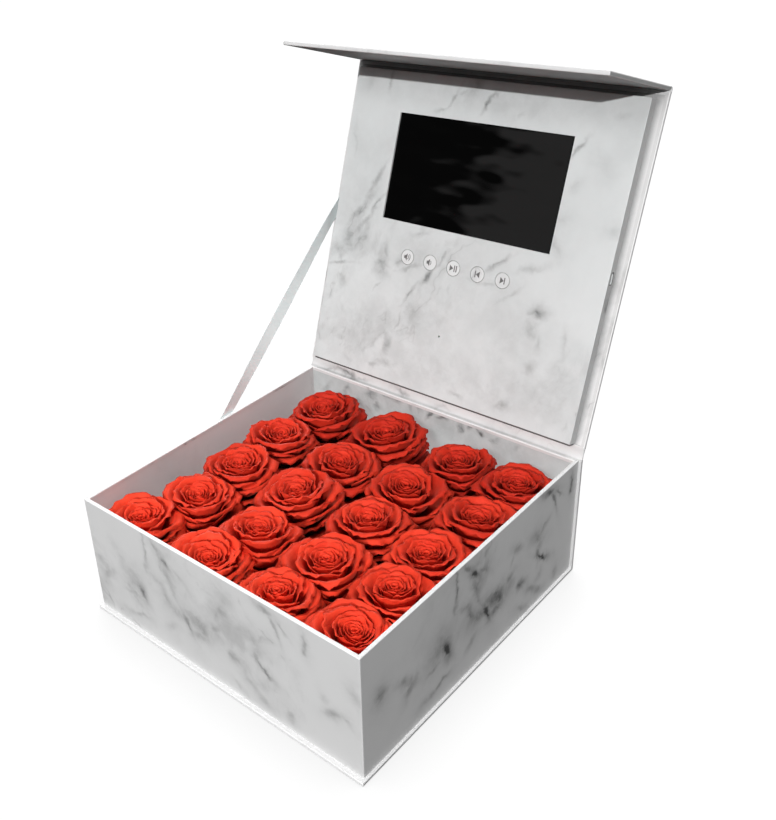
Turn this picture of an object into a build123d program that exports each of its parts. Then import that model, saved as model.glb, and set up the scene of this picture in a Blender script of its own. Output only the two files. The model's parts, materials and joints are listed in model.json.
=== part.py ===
from build123d import *
import math
import os

# A book-style rigid gift box. Its case is one paper-covered sheet of four boards: the
# base, the spine, the lid and the front flap. A tray of roses is glued to the base and
# the spine. A raised card panel with a screen and five buttons fills the lid's inside.
# Millimetres. +X is the box's right, +Y its hinge side, +Z up. The origin is on the
# underside of the base, below the centre of the tray.

# Boards and papers
board = 2.4
paper = 0.3
turn_in = 3.0
glued_margin = 15.0

# Tray
tray_width = 264.0
tray_depth = 264.0
tray_height = 102.4
rim_fold = 3.0
foam_height = 40.0
foam_clearance = 0.2

# Case
case_side_overhang = 2.0
base_front_overhang = 3.5
spine_drop = 0.4

# Lid hinge, measured from the tray's rear top edge, and how far the lid leans back
hinge_behind = 1.4
hinge_above = 1.4
lid_lean = 18.0
lid_seat_gap = 0.3
hinge_paper = 0.6

# Front flap: the gap at its fold and at its free edge when the box is shut
flap_length = 98.8
flap_gap = 2.0
flap_tip_gap = 0.3
flap_fold_clearance = 0.15

# Magnets that hold the flap to the front wall
magnet_diameter = 12.0
magnet_thickness = 1.6
magnet_spread = 170.0
magnet_inset = 18.0

# Ribbon that stops the lid, on the left side
ribbon_width = 10.0
ribbon_thickness = 0.4
ribbon_foot = 111.5
ribbon_head = 136.5
ribbon_tab = 12.0

# Video panel on the lid: its card is on top of a spacer with pockets for the parts. The
# gaps are to the inside of the tray's walls when the box is shut.
panel_side_gap = 3.0
panel_front_gap = 0.9
panel_rear_gap = 5.1
panel_rear_margin = 2.4
spacer_thickness = 6.9
card_thickness = 1.6
pocket_gap = 0.4
side_wall = 2.4

# Screen
window_width = 154.1
window_height = 85.9
window_bottom = 134.0
glass_border = 4.0
module_border = 6.0
glass_thickness = 1.2

# Buttons on their key strip
button_names = ["volume_up", "volume_down", "play", "previous", "next"]
button_diameter = 12.2
button_pitch = 22.3
button_row = 106.6
button_middle = -0.95
button_gap = 0.3
button_travel = 0.3
button_flange = 0.8
button_flange_thickness = 0.5
plunger_diameter = 3.0
plunger_reach = 1.0
plunger_clearance = 0.1
switch_size = 4.6
switch_height = 1.4
key_board_width = 14.2
key_board_thickness = 0.8
key_board_end = 7.6

# Light sensor behind its pinhole
pinhole_diameter = 1.8
pinhole_across = -1.9
pinhole_up = 50.2
sensor_diameter = 3.0
sensor_height = 1.0
sensor_board_length = 9.0
sensor_board_width = 7.0

# Main board in the room beside the screen, with the charging socket in the panel's side
main_board_gap = 2.35
main_board_length = 60.0
main_board_thickness = 1.0
main_board_bottom = 92.0
socket_up = 126.1
socket_width = 7.6
socket_height = 2.7
socket_depth = 5.6
socket_corner = 0.6
slot_side_gap = 0.5
slot_face_gap = 0.3
screen_connector_up = 46.0
screen_connector_in = 4.0
key_cable_straight = 3.0
key_cable_slope = 6.0

# Battery, loudspeaker and wires
battery_length = 58.0
battery_width = 52.0
battery_thickness = 6.4
battery_edge = 1.2
battery_side = 14.0
battery_up = 59.0
speaker_diameter = 36.0
speaker_rim = 1.4
speaker_magnet = 20.0
speaker_thickness = 4.0
speaker_gap = 5.8
speaker_up = 60.0
wire_diameter = 1.2
wire_pitch = 2.5
wire_bend = 1.6
wire_entry = 4.0
wire_pair_pitch = 6.0
wire_clearance = 7.0
battery_wire_inset = 3.0
cable_thickness = 0.3
cable_width = 6.0
screen_cable_width = 16.0

# Roses: a grid of columns and rows, each head a little off its place
rose_headroom = 0.5
rose_gap = 0.3
rose_columns = [
    [(-3.0, -2.0, 1.0), (13.0, -9.0, 1.0), (9.0, -11.0, 1.02), (5.0, -10.0, 0.98), (10.0, -7.0, 1.04)],
    [(7.0, -3.0, 1.0), (17.0, -15.0, 1.02), (6.0, -9.0, 1.08), (8.0, -12.0, 1.0), (11.0, -5.0, 1.06)],
    [(11.0, -4.0, 0.98), (14.0, -11.0, 1.14), (8.0, -5.0, 1.0), (7.0, -9.0, 1.08), (20.0, -9.0, 1.0)],
    [(4.0, -2.0, 1.0), (5.0, -6.0, 1.04), (1.0, -13.0, 1.0), (3.0, -8.0, 1.04), (4.0, -8.0, 1.0)],
]
petal_wall = 2.2
petal_depth = 5.0
petal_counts = [5, 5, 4, 3, 3]
petal_turns = [0, 36, 20, 70, 10]
petal_tiers = [
    # radius of the lip, height of the lip, height of the foot
    (31.0, 34.0, 8.0),
    (25.5, 40.0, 24.0),
    (19.5, 45.0, 33.0),
    (13.0, 48.5, 38.0),
    (7.5, 50.0, 42.0),
]
rose_foot_radius = 7.5

# Heights and half sizes that follow from the above
half_width = tray_width / 2
half_depth = tray_depth / 2
case_half_width = half_width + case_side_overhang
board_and_papers = board + 2 * paper
inner_half_width = half_width - board_and_papers
inner_half_depth = half_depth - board_and_papers
tray_bottom = board_and_papers
rim = tray_bottom + tray_height
tray_floor_top = tray_bottom + board + paper
foam_top = tray_floor_top + foam_height
spine_top = rim - spine_drop

lid_inside = rim + lid_seat_gap
lid_outside = lid_inside + board_and_papers
hinge_y = half_depth + hinge_behind
hinge_z = rim + hinge_above
open_angle = 90 + lid_lean
lid_axis = Axis((0, hinge_y, hinge_z), (1, 0, 0))

panel_half_width = inner_half_width - panel_side_gap
panel_front = -inner_half_depth + panel_front_gap
panel_rear = inner_half_depth - panel_rear_gap
panel_length = panel_rear - panel_front
panel_thickness = spacer_thickness + card_thickness
panel_underside = lid_inside - panel_thickness
lid_front = -half_depth - flap_gap
lid_rear = panel_rear + panel_rear_margin

flap_axis = Axis((0, lid_front, lid_inside), (1, 0, 0))
flap_fold_over = math.degrees(math.asin((flap_gap - flap_tip_gap) / flap_length))
flap_top = lid_inside - flap_fold_clearance
flap_bottom = lid_inside - flap_length
magnet_z = flap_bottom + magnet_inset


def block(x, y, z):
    """A box between the low and high value of each axis."""
    spans = (x, y, z)
    size = [high - low for low, high in spans]
    corner = [low for low, high in spans]
    return Pos(*corner) * Box(*size, align=Align.MIN)


def both(half):
    return (-half, half)


def disc_y(x, z, y_from, y_to, diameter):
    """A disc whose axis runs along Y."""
    middle = (y_from + y_to) / 2
    return Pos(x, middle, z) * Rot(90, 0, 0) * Cylinder(diameter / 2, y_to - y_from)


def profile_along_x(points, x_from, x_to):
    """The closed outline of (y, z) points, drawn out along X."""
    face = Plane.YZ.offset(x_from) * Polygon(*points, align=None)
    return extrude(face, amount=x_to - x_from)


def opened(shape):
    """Turns what is drawn with the lid shut to where it is at rest."""
    return shape.rotate(lid_axis, -open_angle)


def flap_opened(shape):
    return opened(shape.rotate(flap_axis, flap_fold_over))


def opened_point(y, z):
    """The (y, z) of a point of the shut lid, at rest."""
    turn = math.radians(-open_angle)
    dy = y - hinge_y
    dz = z - hinge_z
    y_open = hinge_y + dy * math.cos(turn) - dz * math.sin(turn)
    z_open = hinge_z + dy * math.sin(turn) + dz * math.cos(turn)
    return y_open, z_open


# Places on the shut lid: across is X, up runs from the panel's hinge edge to its front
# edge, and out runs from the lid's inside face towards the tray.

def lid_block(across, up, out):
    y = (panel_rear - up[1], panel_rear - up[0])
    z = (lid_inside - out[1], lid_inside - out[0])
    return block(across, y, z)


def lid_point(across, up, out):
    return (across, panel_rear - up, lid_inside - out)


def lid_disc(across, up, out, diameter):
    middle = (out[0] + out[1]) / 2
    return Pos(*lid_point(across, up, middle)) * Cylinder(diameter / 2, out[1] - out[0])


def group(solids):
    return Compound(children=list(solids))


# Case and tray

def base():
    top = board_and_papers
    front = -half_depth - base_front_overhang
    outline = block(both(case_half_width), (front, half_depth), (0, top))
    inside = both(case_half_width - paper)
    core = block(inside, (front + paper, half_depth), (paper, top - paper))
    bare = block(
        both(case_half_width - glued_margin), (front + glued_margin, half_depth), (top - paper, top)
    )
    return {"base_board": core, "base_paper": outline - core - bare}


def spine():
    rear = half_depth + board
    outline = block(both(case_half_width), (half_depth, rear + paper), (0, spine_top))
    core = block(both(case_half_width - paper), (half_depth, rear), (paper, spine_top))
    return {"spine_board": core, "spine_paper": outline - core}


def front_magnets():
    outside = -half_depth + paper
    return [
        disc_y(side * magnet_spread / 2, magnet_z, outside, outside + magnet_thickness, magnet_diameter)
        for side in (-1, 1)
    ]


def tray():
    outer_x = half_width - paper
    outer_y = half_depth - paper
    inner_x = outer_x - board
    inner_y = outer_y - board
    height = (tray_bottom, rim - paper)
    magnets = front_magnets()
    front = block(both(outer_x), (-outer_y, -inner_y), height)
    for magnet in magnets:
        front -= magnet
    return {
        "tray_floor": block(both(inner_x), both(inner_y), (tray_bottom, tray_bottom + board)),
        "tray_front_wall": front,
        "tray_back_wall": block(both(outer_x), (inner_y, outer_y), height),
        "tray_left_wall": block((-outer_x, -inner_x), both(inner_y), height),
        "tray_right_wall": block((inner_x, outer_x), both(inner_y), height),
        "front_wall_magnets": group(magnets),
    }


def tray_papers():
    hollow = block(both(inner_half_width), both(inner_half_depth), (tray_bottom, rim))
    outline = block(both(half_width), both(half_depth), (tray_bottom, rim))
    boards = block(
        both(half_width - paper), both(half_depth - paper), (tray_bottom, rim - paper)
    )
    behind_lining = (both(inner_half_width + paper), both(inner_half_depth + paper))
    fold = block(*behind_lining, (rim - rim_fold, rim - paper))
    lining = block(*behind_lining, (tray_bottom + board, rim - rim_fold))
    lined = block(both(inner_half_width), both(inner_half_depth), (tray_floor_top, rim))
    return {
        "tray_paper": outline - boards + fold - hollow,
        "tray_lining": lining - lined,
    }


def foam():
    size_x = both(inner_half_width - foam_clearance)
    size_y = both(inner_half_depth - foam_clearance)
    return {"foam_insert": block(size_x, size_y, (tray_floor_top, foam_top))}


# Roses

def petal_cup(count, turn, radius, lip, foot):
    """A flared ring of petals, hollowed below its lip."""
    flare = math.degrees(math.atan((radius - radius * foot / lip) / (lip - foot)))
    corner = radius * 0.35

    def frustum(bottom, top, top_radius):
        start = top_radius - (top - bottom) * math.tan(math.radians(flare))
        outline = RegularPolygon(start, count, rotation=turn)
        outline = fillet(outline.vertices(), corner * start / radius)
        return extrude(Pos(0, 0, bottom) * outline, amount=top - bottom, taper=-flare)

    cup = frustum(foot, lip, radius)
    depth = min(petal_depth, (lip - foot) * 0.6)
    return cup - frustum(lip - depth, lip, radius - petal_wall)


def rose_head():
    """One rose, its foot on z = 0 and a stalk end below it."""
    first_foot = petal_tiers[0][2]
    stalk = Pos(0, 0, -first_foot) * Cylinder(
        rose_foot_radius, 3 * first_foot, align=(Align.CENTER, Align.CENTER, Align.MIN)
    )
    head = stalk
    for count, turn, tier in zip(petal_counts, petal_turns, petal_tiers):
        head += petal_cup(count, turn, *tier)
    return head


def rose_places():
    """Centre, size and cell of each rose, column by column from the left."""
    columns = len(rose_columns)
    rows = len(rose_columns[0])
    pitch_x = 2 * inner_half_width / columns
    pitch_y = 2 * inner_half_depth / rows
    centres = []
    for c, column in enumerate(rose_columns):
        x_line = (c - (columns - 1) / 2) * pitch_x
        y_line = [(r - (rows - 1) / 2) * pitch_y for r in range(rows)]
        centres.append([(x_line + dx, y + dy, size) for (dx, dy, size), y in zip(column, y_line)])
    middles = [sum(x for x, y, size in column) / rows for column in centres]
    borders_x = [-inner_half_width]
    borders_x += [(a + b) / 2 for a, b in zip(middles, middles[1:])] + [inner_half_width]
    places = []
    for c, column in enumerate(centres):
        borders_y = [-inner_half_depth]
        borders_y += [(a[1] + b[1]) / 2 for a, b in zip(column, column[1:])] + [inner_half_depth]
        for r, (x, y, size) in enumerate(column):
            x_cell = (borders_x[c] + rose_gap / 2, borders_x[c + 1] - rose_gap / 2)
            y_cell = (borders_y[r] + rose_gap / 2, borders_y[r + 1] - rose_gap / 2)
            places.append((x, y, size, x_cell, y_cell))
    return places


def roses():
    head = rose_head()
    top = panel_underside - rose_headroom
    turn_step = 47.0
    nodes = {}
    for i, (x, y, size, x_cell, y_cell) in enumerate(rose_places()):
        grown = scale(head, size)
        height = size * petal_tiers[-1][1]
        placed = Pos(x, y, top - height) * Rot(0, 0, i * turn_step) * grown
        nodes[f"rose_{i + 1:02d}"] = placed & block(x_cell, y_cell, (foam_top, top))
    return nodes


# Lid, flap and the papers that hinge them

def lid():
    outline = block(both(case_half_width), (lid_front, lid_rear), (lid_inside, lid_outside))
    core = block(
        both(case_half_width - paper),
        (lid_front + paper, lid_rear - paper),
        (lid_inside + paper, lid_outside - paper),
    )
    lining = block(
        both(case_half_width - turn_in),
        (lid_front + turn_in, lid_rear - turn_in),
        (lid_inside, lid_inside + paper),
    )
    return {
        "lid_board": opened(core),
        "lid_paper": opened(outline - core - lining),
        "lid_lining": opened(lining),
    }


def flap():
    outside = lid_front - board_and_papers
    outline = block(both(case_half_width), (outside, lid_front), (flap_bottom, flap_top))
    core = block(
        both(case_half_width - paper), (outside + paper, lid_front - paper), (flap_bottom + paper, flap_top)
    )
    inner = lid_front - paper
    magnets = [
        disc_y(side * magnet_spread / 2, magnet_z, inner - magnet_thickness, inner, magnet_diameter)
        for side in (-1, 1)
    ]
    covering = outline - core
    for magnet in magnets:
        core -= magnet
    return {
        "flap_board": flap_opened(core),
        "flap_paper": flap_opened(covering),
        "flap_magnets": flap_opened(group(magnets)),
    }


def hinge_papers():
    spine_rear = half_depth + board + paper
    outer_y, outer_z = opened_point(lid_rear, lid_outside)
    inner_y, inner_z = opened_point(lid_rear, lid_outside - hinge_paper)
    outline = [
        (spine_rear - hinge_paper, spine_top),
        (spine_rear, spine_top),
        (outer_y, outer_z),
        (inner_y, inner_z),
    ]
    lid_strip = profile_along_x(outline, -case_half_width, case_half_width)
    fold = Pos(0, lid_front, lid_inside) * Rot(0, 90, 0) * (
        Cylinder(board_and_papers, 2 * case_half_width)
        - Cylinder(board_and_papers - paper, 2 * case_half_width)
    )
    quarter = block(
        both(case_half_width),
        (lid_front - board_and_papers, lid_front),
        (lid_inside, lid_inside + board_and_papers),
    )
    return {"lid_hinge_paper": lid_strip, "flap_hinge_paper": opened(fold & quarter)}


def ribbon():
    """A straight strip against the tray's left side, from below the rim to the lid."""
    foot_y = half_depth - ribbon_foot
    head_y, head_z = opened_point(panel_rear - ribbon_head, lid_inside)
    run_y = head_y - foot_y
    run_z = head_z - rim
    length = math.hypot(run_y, run_z)
    along = (run_y / length, run_z / length)
    across = (-along[1], along[0])
    lean = math.radians(lid_lean)
    lid_line = (math.sin(lean), math.cos(lean))
    crossing = along[0] * lid_line[1] - along[1] * lid_line[0]
    reach = ribbon_width / 2 / crossing

    def tab_corner(side):
        offset = side * ribbon_width / 2
        y = foot_y - ribbon_tab * along[0] + offset * across[0]
        z = rim - ribbon_tab * along[1] + offset * across[1]
        return y, z

    upper = (head_y + reach * lid_line[0], head_z + reach * lid_line[1])
    lower = (head_y - reach * lid_line[0], head_z - reach * lid_line[1])
    outline = [tab_corner(-1), lower, upper, tab_corner(1)]
    print(f"ribbon: {length:.1f} mm from rim to lid, {length + ribbon_tab:.1f} mm with its glued tab")
    return {"ribbon_stay": profile_along_x(outline, -half_width - ribbon_thickness, -half_width)}


# Video panel

board_right = panel_half_width - side_wall - pocket_gap
board_left = window_width / 2 + module_border + pocket_gap + main_board_gap
board_width = board_right - board_left
battery_across = battery_side + battery_length / 2 - panel_half_width
speaker_across = board_left - speaker_gap - speaker_diameter / 2
board_face = spacer_thickness - main_board_thickness
first_button = button_middle - 2 * button_pitch
last_button = button_middle + 2 * button_pitch
flange_out = spacer_thickness - button_flange_thickness
switch_top = flange_out - button_travel - plunger_clearance
key_board_out = (switch_top - switch_height - key_board_thickness, switch_top - switch_height)
wire_middle = board_face - wire_diameter / 2
wire_floor = board_face - wire_diameter
sensor_board_out = (wire_floor, spacer_thickness - sensor_height)


def button_places():
    return [(name, first_button + i * button_pitch) for i, name in enumerate(button_names)]


def wire_routes():
    """Middle line of each pair of wires, as (across, up) points, with its channel."""
    entry = main_board_bottom + wire_entry
    sensor_right = pinhole_across + sensor_board_length / 2
    pair = wire_pair_pitch
    sensor_turn = board_left + pair
    battery_right = battery_across + battery_length / 2
    battery_line = battery_up - battery_width / 2 + battery_wire_inset
    speaker_right = speaker_across + speaker_diameter / 2
    below_board = main_board_bottom - wire_clearance
    column = (pinhole_across + speaker_across) / 2
    return {
        "sensor": [
            (sensor_right, pinhole_up),
            (column, pinhole_up),
            (column, below_board),
            (sensor_turn, below_board),
            (sensor_turn, entry),
        ],
        "speaker": [
            (speaker_right, speaker_up),
            (sensor_turn + pair, speaker_up),
            (sensor_turn + pair, entry),
        ],
        "battery": [
            (battery_right, battery_line),
            (sensor_turn + 2 * pair, battery_line),
            (sensor_turn + 2 * pair, entry),
        ],
    }


def shifted(route, offset):
    """The route moved sideways by offset, its runs being along X or Y."""
    lines = []
    for (x0, y0), (x1, y1) in zip(route, route[1:]):
        length = math.hypot(x1 - x0, y1 - y0)
        lines.append(((y0 - y1) / length * offset, (x1 - x0) / length * offset))
    points = []
    for i, (x, y) in enumerate(route):
        near = lines[max(i - 1, 0)]
        far = lines[min(i, len(lines) - 1)]
        dx = near[0] if near[0] else far[0]
        dy = near[1] if near[1] else far[1]
        points.append((x + dx, y + dy))
    return points


def wires():
    solids = []
    for route in wire_routes().values():
        for side in (-1, 1):
            points = [lid_point(x, y, wire_middle) for x, y in shifted(route, side * wire_pitch / 2)]
            path = FilletPolyline(*points, radius=wire_bend)
            section = Plane(origin=path @ 0, z_dir=path % 0) * Circle(wire_diameter / 2)
            solids.append(sweep(section, path=path))
    return solids


def flat_cables():
    cable_out = (board_face - cable_thickness, board_face)
    module_right = window_width / 2 + module_border
    middle = main_board_bottom + screen_connector_up
    screen_up = (middle - screen_cable_width / 2, middle + screen_cable_width / 2)
    screen_cable = lid_block((module_right, board_left + screen_connector_in), screen_up, cable_out)
    start = last_button + switch_size / 2 + button_gap
    low = key_board_out[1]
    slope = last_button + key_board_end + key_cable_straight
    step = (slope, slope + key_cable_slope)
    end = board_left + screen_connector_in
    lower = [(start, low), (step[0], low), (step[1], cable_out[0]), (end, cable_out[0])]
    upper = [(x, out + cable_thickness) for x, out in reversed(lower)]
    outline = [(x, lid_inside - out) for x, out in lower + upper]
    plane = Plane.XZ.offset(-(panel_rear - button_row))
    key_cable = extrude(plane * Polygon(*outline, align=None), amount=cable_width / 2, both=True)
    return [screen_cable, key_cable]


def wire_channels():
    """Grooves in the spacer that follow the wires."""
    half = wire_pitch / 2 + wire_diameter / 2 + pocket_gap
    out = (wire_floor, spacer_thickness)
    grooves = []
    for route in wire_routes().values():
        for (x0, y0), (x1, y1) in zip(route, route[1:]):
            across = (min(x0, x1) - half, max(x0, x1) + half)
            up = (min(y0, y1) - half, max(y0, y1) + half)
            grooves.append(lid_block(across, up, out))
    return grooves


def pockets():
    gap = pocket_gap
    through = (0, spacer_thickness)
    module_half = window_width / 2 + module_border + gap
    module_up = (window_bottom - module_border - gap, window_bottom + window_height + module_border + gap)
    keys = (first_button - key_board_end - gap, last_button + key_board_end + gap)
    key_half = key_board_width / 2 + gap
    key_depth = (key_board_out[0], spacer_thickness)
    cable_half = cable_width / 2 + gap
    battery_half = (battery_length / 2 + gap, battery_width / 2 + gap)
    sensor_half = (sensor_board_length / 2 + gap, sensor_board_width / 2 + gap)
    return [
        lid_block(both(module_half), module_up, through),
        lid_block(
            (module_half, board_right + gap),
            (main_board_bottom - gap, main_board_bottom + main_board_length + gap),
            through,
        ),
        lid_block(keys, (button_row - key_half, button_row + key_half), key_depth),
        lid_block((keys[1], module_half), (button_row - cable_half, button_row + cable_half), key_depth),
        lid_block(
            (battery_across - battery_half[0], battery_across + battery_half[0]),
            (battery_up - battery_half[1], battery_up + battery_half[1]),
            through,
        ),
        lid_disc(speaker_across, speaker_up, through, speaker_diameter + 2 * gap),
        lid_block(
            (pinhole_across - sensor_half[0], pinhole_across + sensor_half[0]),
            (pinhole_up - sensor_half[1], pinhole_up + sensor_half[1]),
            (sensor_board_out[0], spacer_thickness),
        ),
    ]


def socket_slot():
    """The rounded slot in the panel's right side that the plug goes through."""
    width = socket_width + 2 * slot_side_gap
    height = socket_height + 2 * slot_face_gap
    middle = board_face - socket_height / 2
    slot = SlotOverall(width, height)
    plane = Plane(
        origin=lid_point(panel_half_width, socket_up, middle), x_dir=(0, 1, 0), z_dir=(-1, 0, 0)
    )
    return extrude(plane * slot, amount=side_wall + pocket_gap)


def spacer():
    solid = lid_block(both(panel_half_width), (0, panel_length), (0, spacer_thickness))
    for cut in pockets() + wire_channels() + [socket_slot()]:
        solid -= cut
    return solid


def card():
    out = (spacer_thickness, panel_thickness)
    solid = lid_block(both(panel_half_width), (0, panel_length), out)
    solid -= lid_block(
        both(window_width / 2), (window_bottom, window_bottom + window_height), out
    )
    for name, across in button_places():
        solid -= lid_disc(across, button_row, out, button_diameter + 2 * button_gap)
    return solid - lid_disc(pinhole_across, pinhole_up, out, pinhole_diameter)


def screen():
    def layer(border, out):
        half = window_width / 2 + border
        up = (window_bottom - border, window_bottom + window_height + border)
        return lid_block(both(half), up, out)

    back = spacer_thickness - glass_thickness
    return {
        "screen_glass": opened(layer(glass_border, (back, spacer_thickness))),
        "screen_module": opened(layer(module_border, (0, back))),
    }


def socket():
    """A metal shell with the plug's hollow and the tongue inside it."""
    right = panel_half_width - side_wall / 2
    out = (board_face - socket_height, board_face)
    up = (socket_up - socket_width / 2, socket_up + socket_width / 2)
    shell_wall = 0.35
    back_wall = 0.8
    shell = lid_block((right - socket_depth, right), up, out)
    shell = fillet(shell.edges().filter_by(Axis.X), socket_corner)
    hollow = lid_block(
        (right - socket_depth + back_wall, right),
        (up[0] + shell_wall, up[1] - shell_wall),
        (out[0] + shell_wall, out[1] - shell_wall),
    )
    tongue_width = 4.6
    tongue_height = 0.6
    middle = (out[0] + out[1]) / 2
    tongue = lid_block(
        (right - socket_depth + back_wall / 2, right - back_wall),
        (socket_up - tongue_width / 2, socket_up + tongue_width / 2),
        (middle - tongue_height / 2, middle + tongue_height / 2),
    )
    return shell - hollow + tongue


def chips():
    """Parts on the back of the main board. Each has its share of the board's width and
    length at its middle, its width, its length and its height."""
    connector_width = 4.0
    connector_share = (screen_connector_in + connector_width / 2) / board_width
    parts = [
        (0.43, 0.40, 12.0, 12.0, 1.3),
        (0.80, 0.37, 6.0, 10.0, 1.1),
        (connector_share, screen_connector_up / main_board_length, connector_width, 18.0, 1.2),
        (0.64, 0.73, 5.0, 5.0, 2.2),
        (0.45, 0.87, 4.0, 3.0, 1.6),
        (0.83, 0.87, 3.0, 3.0, 1.2),
        (0.21, 0.57, 3.0, 1.6, 0.9),
        (0.35, 0.63, 3.0, 1.6, 0.9),
    ]
    solids = []
    for across, up, width, length, height in parts:
        x = board_left + across * board_width
        y = main_board_bottom + up * main_board_length
        x_span = (x - width / 2, x + width / 2)
        y_span = (y - length / 2, y + length / 2)
        solids.append(lid_block(x_span, y_span, (board_face - height, board_face)))
    return solids


def key_strip():
    strip = lid_block(
        (first_button - key_board_end, last_button + key_board_end),
        (button_row - key_board_width / 2, button_row + key_board_width / 2),
        key_board_out,
    )
    half = switch_size / 2
    bore = (switch_top - plunger_reach, switch_top)
    switches = []
    for name, across in button_places():
        body = lid_block(
            (across - half, across + half),
            (button_row - half, button_row + half),
            (key_board_out[1], switch_top),
        )
        hole = lid_disc(across, button_row, bore, plunger_diameter + 2 * plunger_clearance)
        switches.append(body - hole)
    return {"key_board": opened(strip), "key_switches": opened(group(switches))}


def buttons():
    """A flush round cap, the flange that keeps it behind the card, and its plunger."""
    flange_diameter = button_diameter + 2 * (button_gap + button_flange)
    nodes = {}
    for name, across in button_places():
        cap = lid_disc(across, button_row, (flange_out, panel_thickness), button_diameter)
        flange = lid_disc(across, button_row, (flange_out, spacer_thickness), flange_diameter)
        plunger = lid_disc(across, button_row, (flange_out - plunger_reach, flange_out), plunger_diameter)
        nodes[f"{name}_button"] = opened(cap + flange + plunger)
    return nodes


def battery():
    pouch = lid_block(
        (battery_across - battery_length / 2, battery_across + battery_length / 2),
        (battery_up - battery_width / 2, battery_up + battery_width / 2),
        (0, battery_thickness),
    )
    return fillet(pouch.edges().filter_by(Axis.Z), battery_edge)


def speaker():
    rim_disc = lid_disc(
        speaker_across, speaker_up, (spacer_thickness - speaker_rim, spacer_thickness), speaker_diameter
    )
    magnet = lid_disc(
        speaker_across,
        speaker_up,
        (spacer_thickness - speaker_thickness, spacer_thickness - speaker_rim),
        speaker_magnet,
    )
    return rim_disc + magnet


def light_sensor():
    strip = lid_block(
        (pinhole_across - sensor_board_length / 2, pinhole_across + sensor_board_length / 2),
        (pinhole_up - sensor_board_width / 2, pinhole_up + sensor_board_width / 2),
        sensor_board_out,
    )
    can = lid_disc(pinhole_across, pinhole_up, (sensor_board_out[1], spacer_thickness), sensor_diameter)
    return strip + can


def video_panel():
    board_up = (main_board_bottom, main_board_bottom + main_board_length)
    nodes = {
        "panel_card": opened(card()),
        "panel_spacer": opened(spacer()),
        "main_board": opened(
            lid_block((board_left, board_right), board_up, (board_face, spacer_thickness))
        ),
        "board_chips": opened(group(chips())),
        "charging_socket": opened(socket()),
        "battery": opened(battery()),
        "speaker": opened(speaker()),
        "light_sensor": opened(light_sensor()),
        "panel_wiring": opened(group(flat_cables() + wires())),
    }
    return nodes | screen() | key_strip() | buttons()


def main():
    os.makedirs("parts", exist_ok=True)
    nodes = base() | spine() | tray() | tray_papers() | foam() | roses()
    nodes |= lid() | flap() | hinge_papers() | ribbon() | video_panel()
    for name, shape in nodes.items():
        export_step(shape, f"parts/{name}.step")
    flap_y, flap_z = opened_point(lid_front, lid_inside)
    print(f"lid hinge axis at y {hinge_y:.3f}, z {hinge_z:.3f}, opens {open_angle:.1f} degrees")
    print(f"flap hinge axis at y {flap_y:.4f}, z {flap_z:.4f}, folded {90 + flap_fold_over:.3f} degrees")
    print(f"{len(nodes)} nodes")


main()
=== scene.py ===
import json
import random
from math import atan2, cos, hypot, pi, radians, sin, tan

import bmesh
import bpy
import numpy as np
from mathutils import Matrix, Vector


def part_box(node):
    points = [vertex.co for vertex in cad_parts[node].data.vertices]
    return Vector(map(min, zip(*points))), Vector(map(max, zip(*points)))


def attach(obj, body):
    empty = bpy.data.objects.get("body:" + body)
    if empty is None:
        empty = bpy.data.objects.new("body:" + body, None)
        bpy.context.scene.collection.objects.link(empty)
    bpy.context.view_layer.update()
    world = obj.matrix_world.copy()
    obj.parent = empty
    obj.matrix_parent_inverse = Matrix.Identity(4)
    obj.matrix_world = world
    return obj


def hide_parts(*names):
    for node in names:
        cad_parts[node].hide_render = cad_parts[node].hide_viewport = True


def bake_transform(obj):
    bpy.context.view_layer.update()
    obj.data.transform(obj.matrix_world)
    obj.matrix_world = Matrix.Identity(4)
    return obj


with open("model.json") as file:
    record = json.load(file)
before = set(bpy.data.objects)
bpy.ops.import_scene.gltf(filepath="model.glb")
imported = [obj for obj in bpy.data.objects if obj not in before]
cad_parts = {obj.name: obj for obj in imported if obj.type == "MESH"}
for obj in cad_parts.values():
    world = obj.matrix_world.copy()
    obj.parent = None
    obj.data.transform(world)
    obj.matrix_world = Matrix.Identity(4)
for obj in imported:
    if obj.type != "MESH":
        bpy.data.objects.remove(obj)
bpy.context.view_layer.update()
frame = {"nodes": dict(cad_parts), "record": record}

scene = bpy.context.scene

# Sizes in millimetres, as in the part's own source
MM = 0.001
TRAY_HALF = 132.0
CASE_HALF = 134.0
BASE_TOP = 3.0
RIM = 105.4
RIM_FOLD = 3.0
FLOOR_TOP = 5.7
FOAM_TOP = 45.7
INNER_HALF = 129.0
BASE_FRONT = -135.5
SPINE_REAR = 134.7
SPINE_TOP = 105.0
TRAY_CORNERS = (0.25, 0.25, 0.9, 0.9)
HINGE = (133.4, 106.8)
OPEN_ANGLE = 108.0
LID_INSIDE = 105.7
LID_OUTSIDE = 108.7
LID_FRONT = -134.0
LID_REAR = 126.3
FLAP_BOTTOM = 6.9
FLAP_TOP = 105.55
FLAP_FOLD_OVER = 0.9858
PANEL_HALF = 126.0
PANEL_FRONT = -128.1
PANEL_REAR = 123.9
PANEL_THICKNESS = 8.5
CARD = 1.6
WINDOW = (154.1, 85.9, 134.0)
BUTTON_ROW = 106.6
BUTTON_MIDDLE = -0.95
BUTTON_PITCH = 22.3
BUTTON_DIAMETER = 12.2
BUTTON_GAP = 0.3
PINHOLE = (-1.9, 50.2, 1.8)
SOCKET_UP = 126.1
SOCKET_OUT = 4.55
SOCKET_RADIUS = 1.65
SOCKET_REACH = 2.65
RIBBON_WIDTH = 10.0
RIBBON_FOOT = 20.5
RIBBON_HEAD = 136.5
RIBBON_TWIST = radians(-19)
ROSE_TOP = 96.7
PETAL_THICKNESS = 0.28
BOARD = 3.0
PAPER = 0.3
WRAP_RADIUS = 0.7
SPACER_WALL = 2.4
WAVE_WIDTH = 0.6

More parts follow.
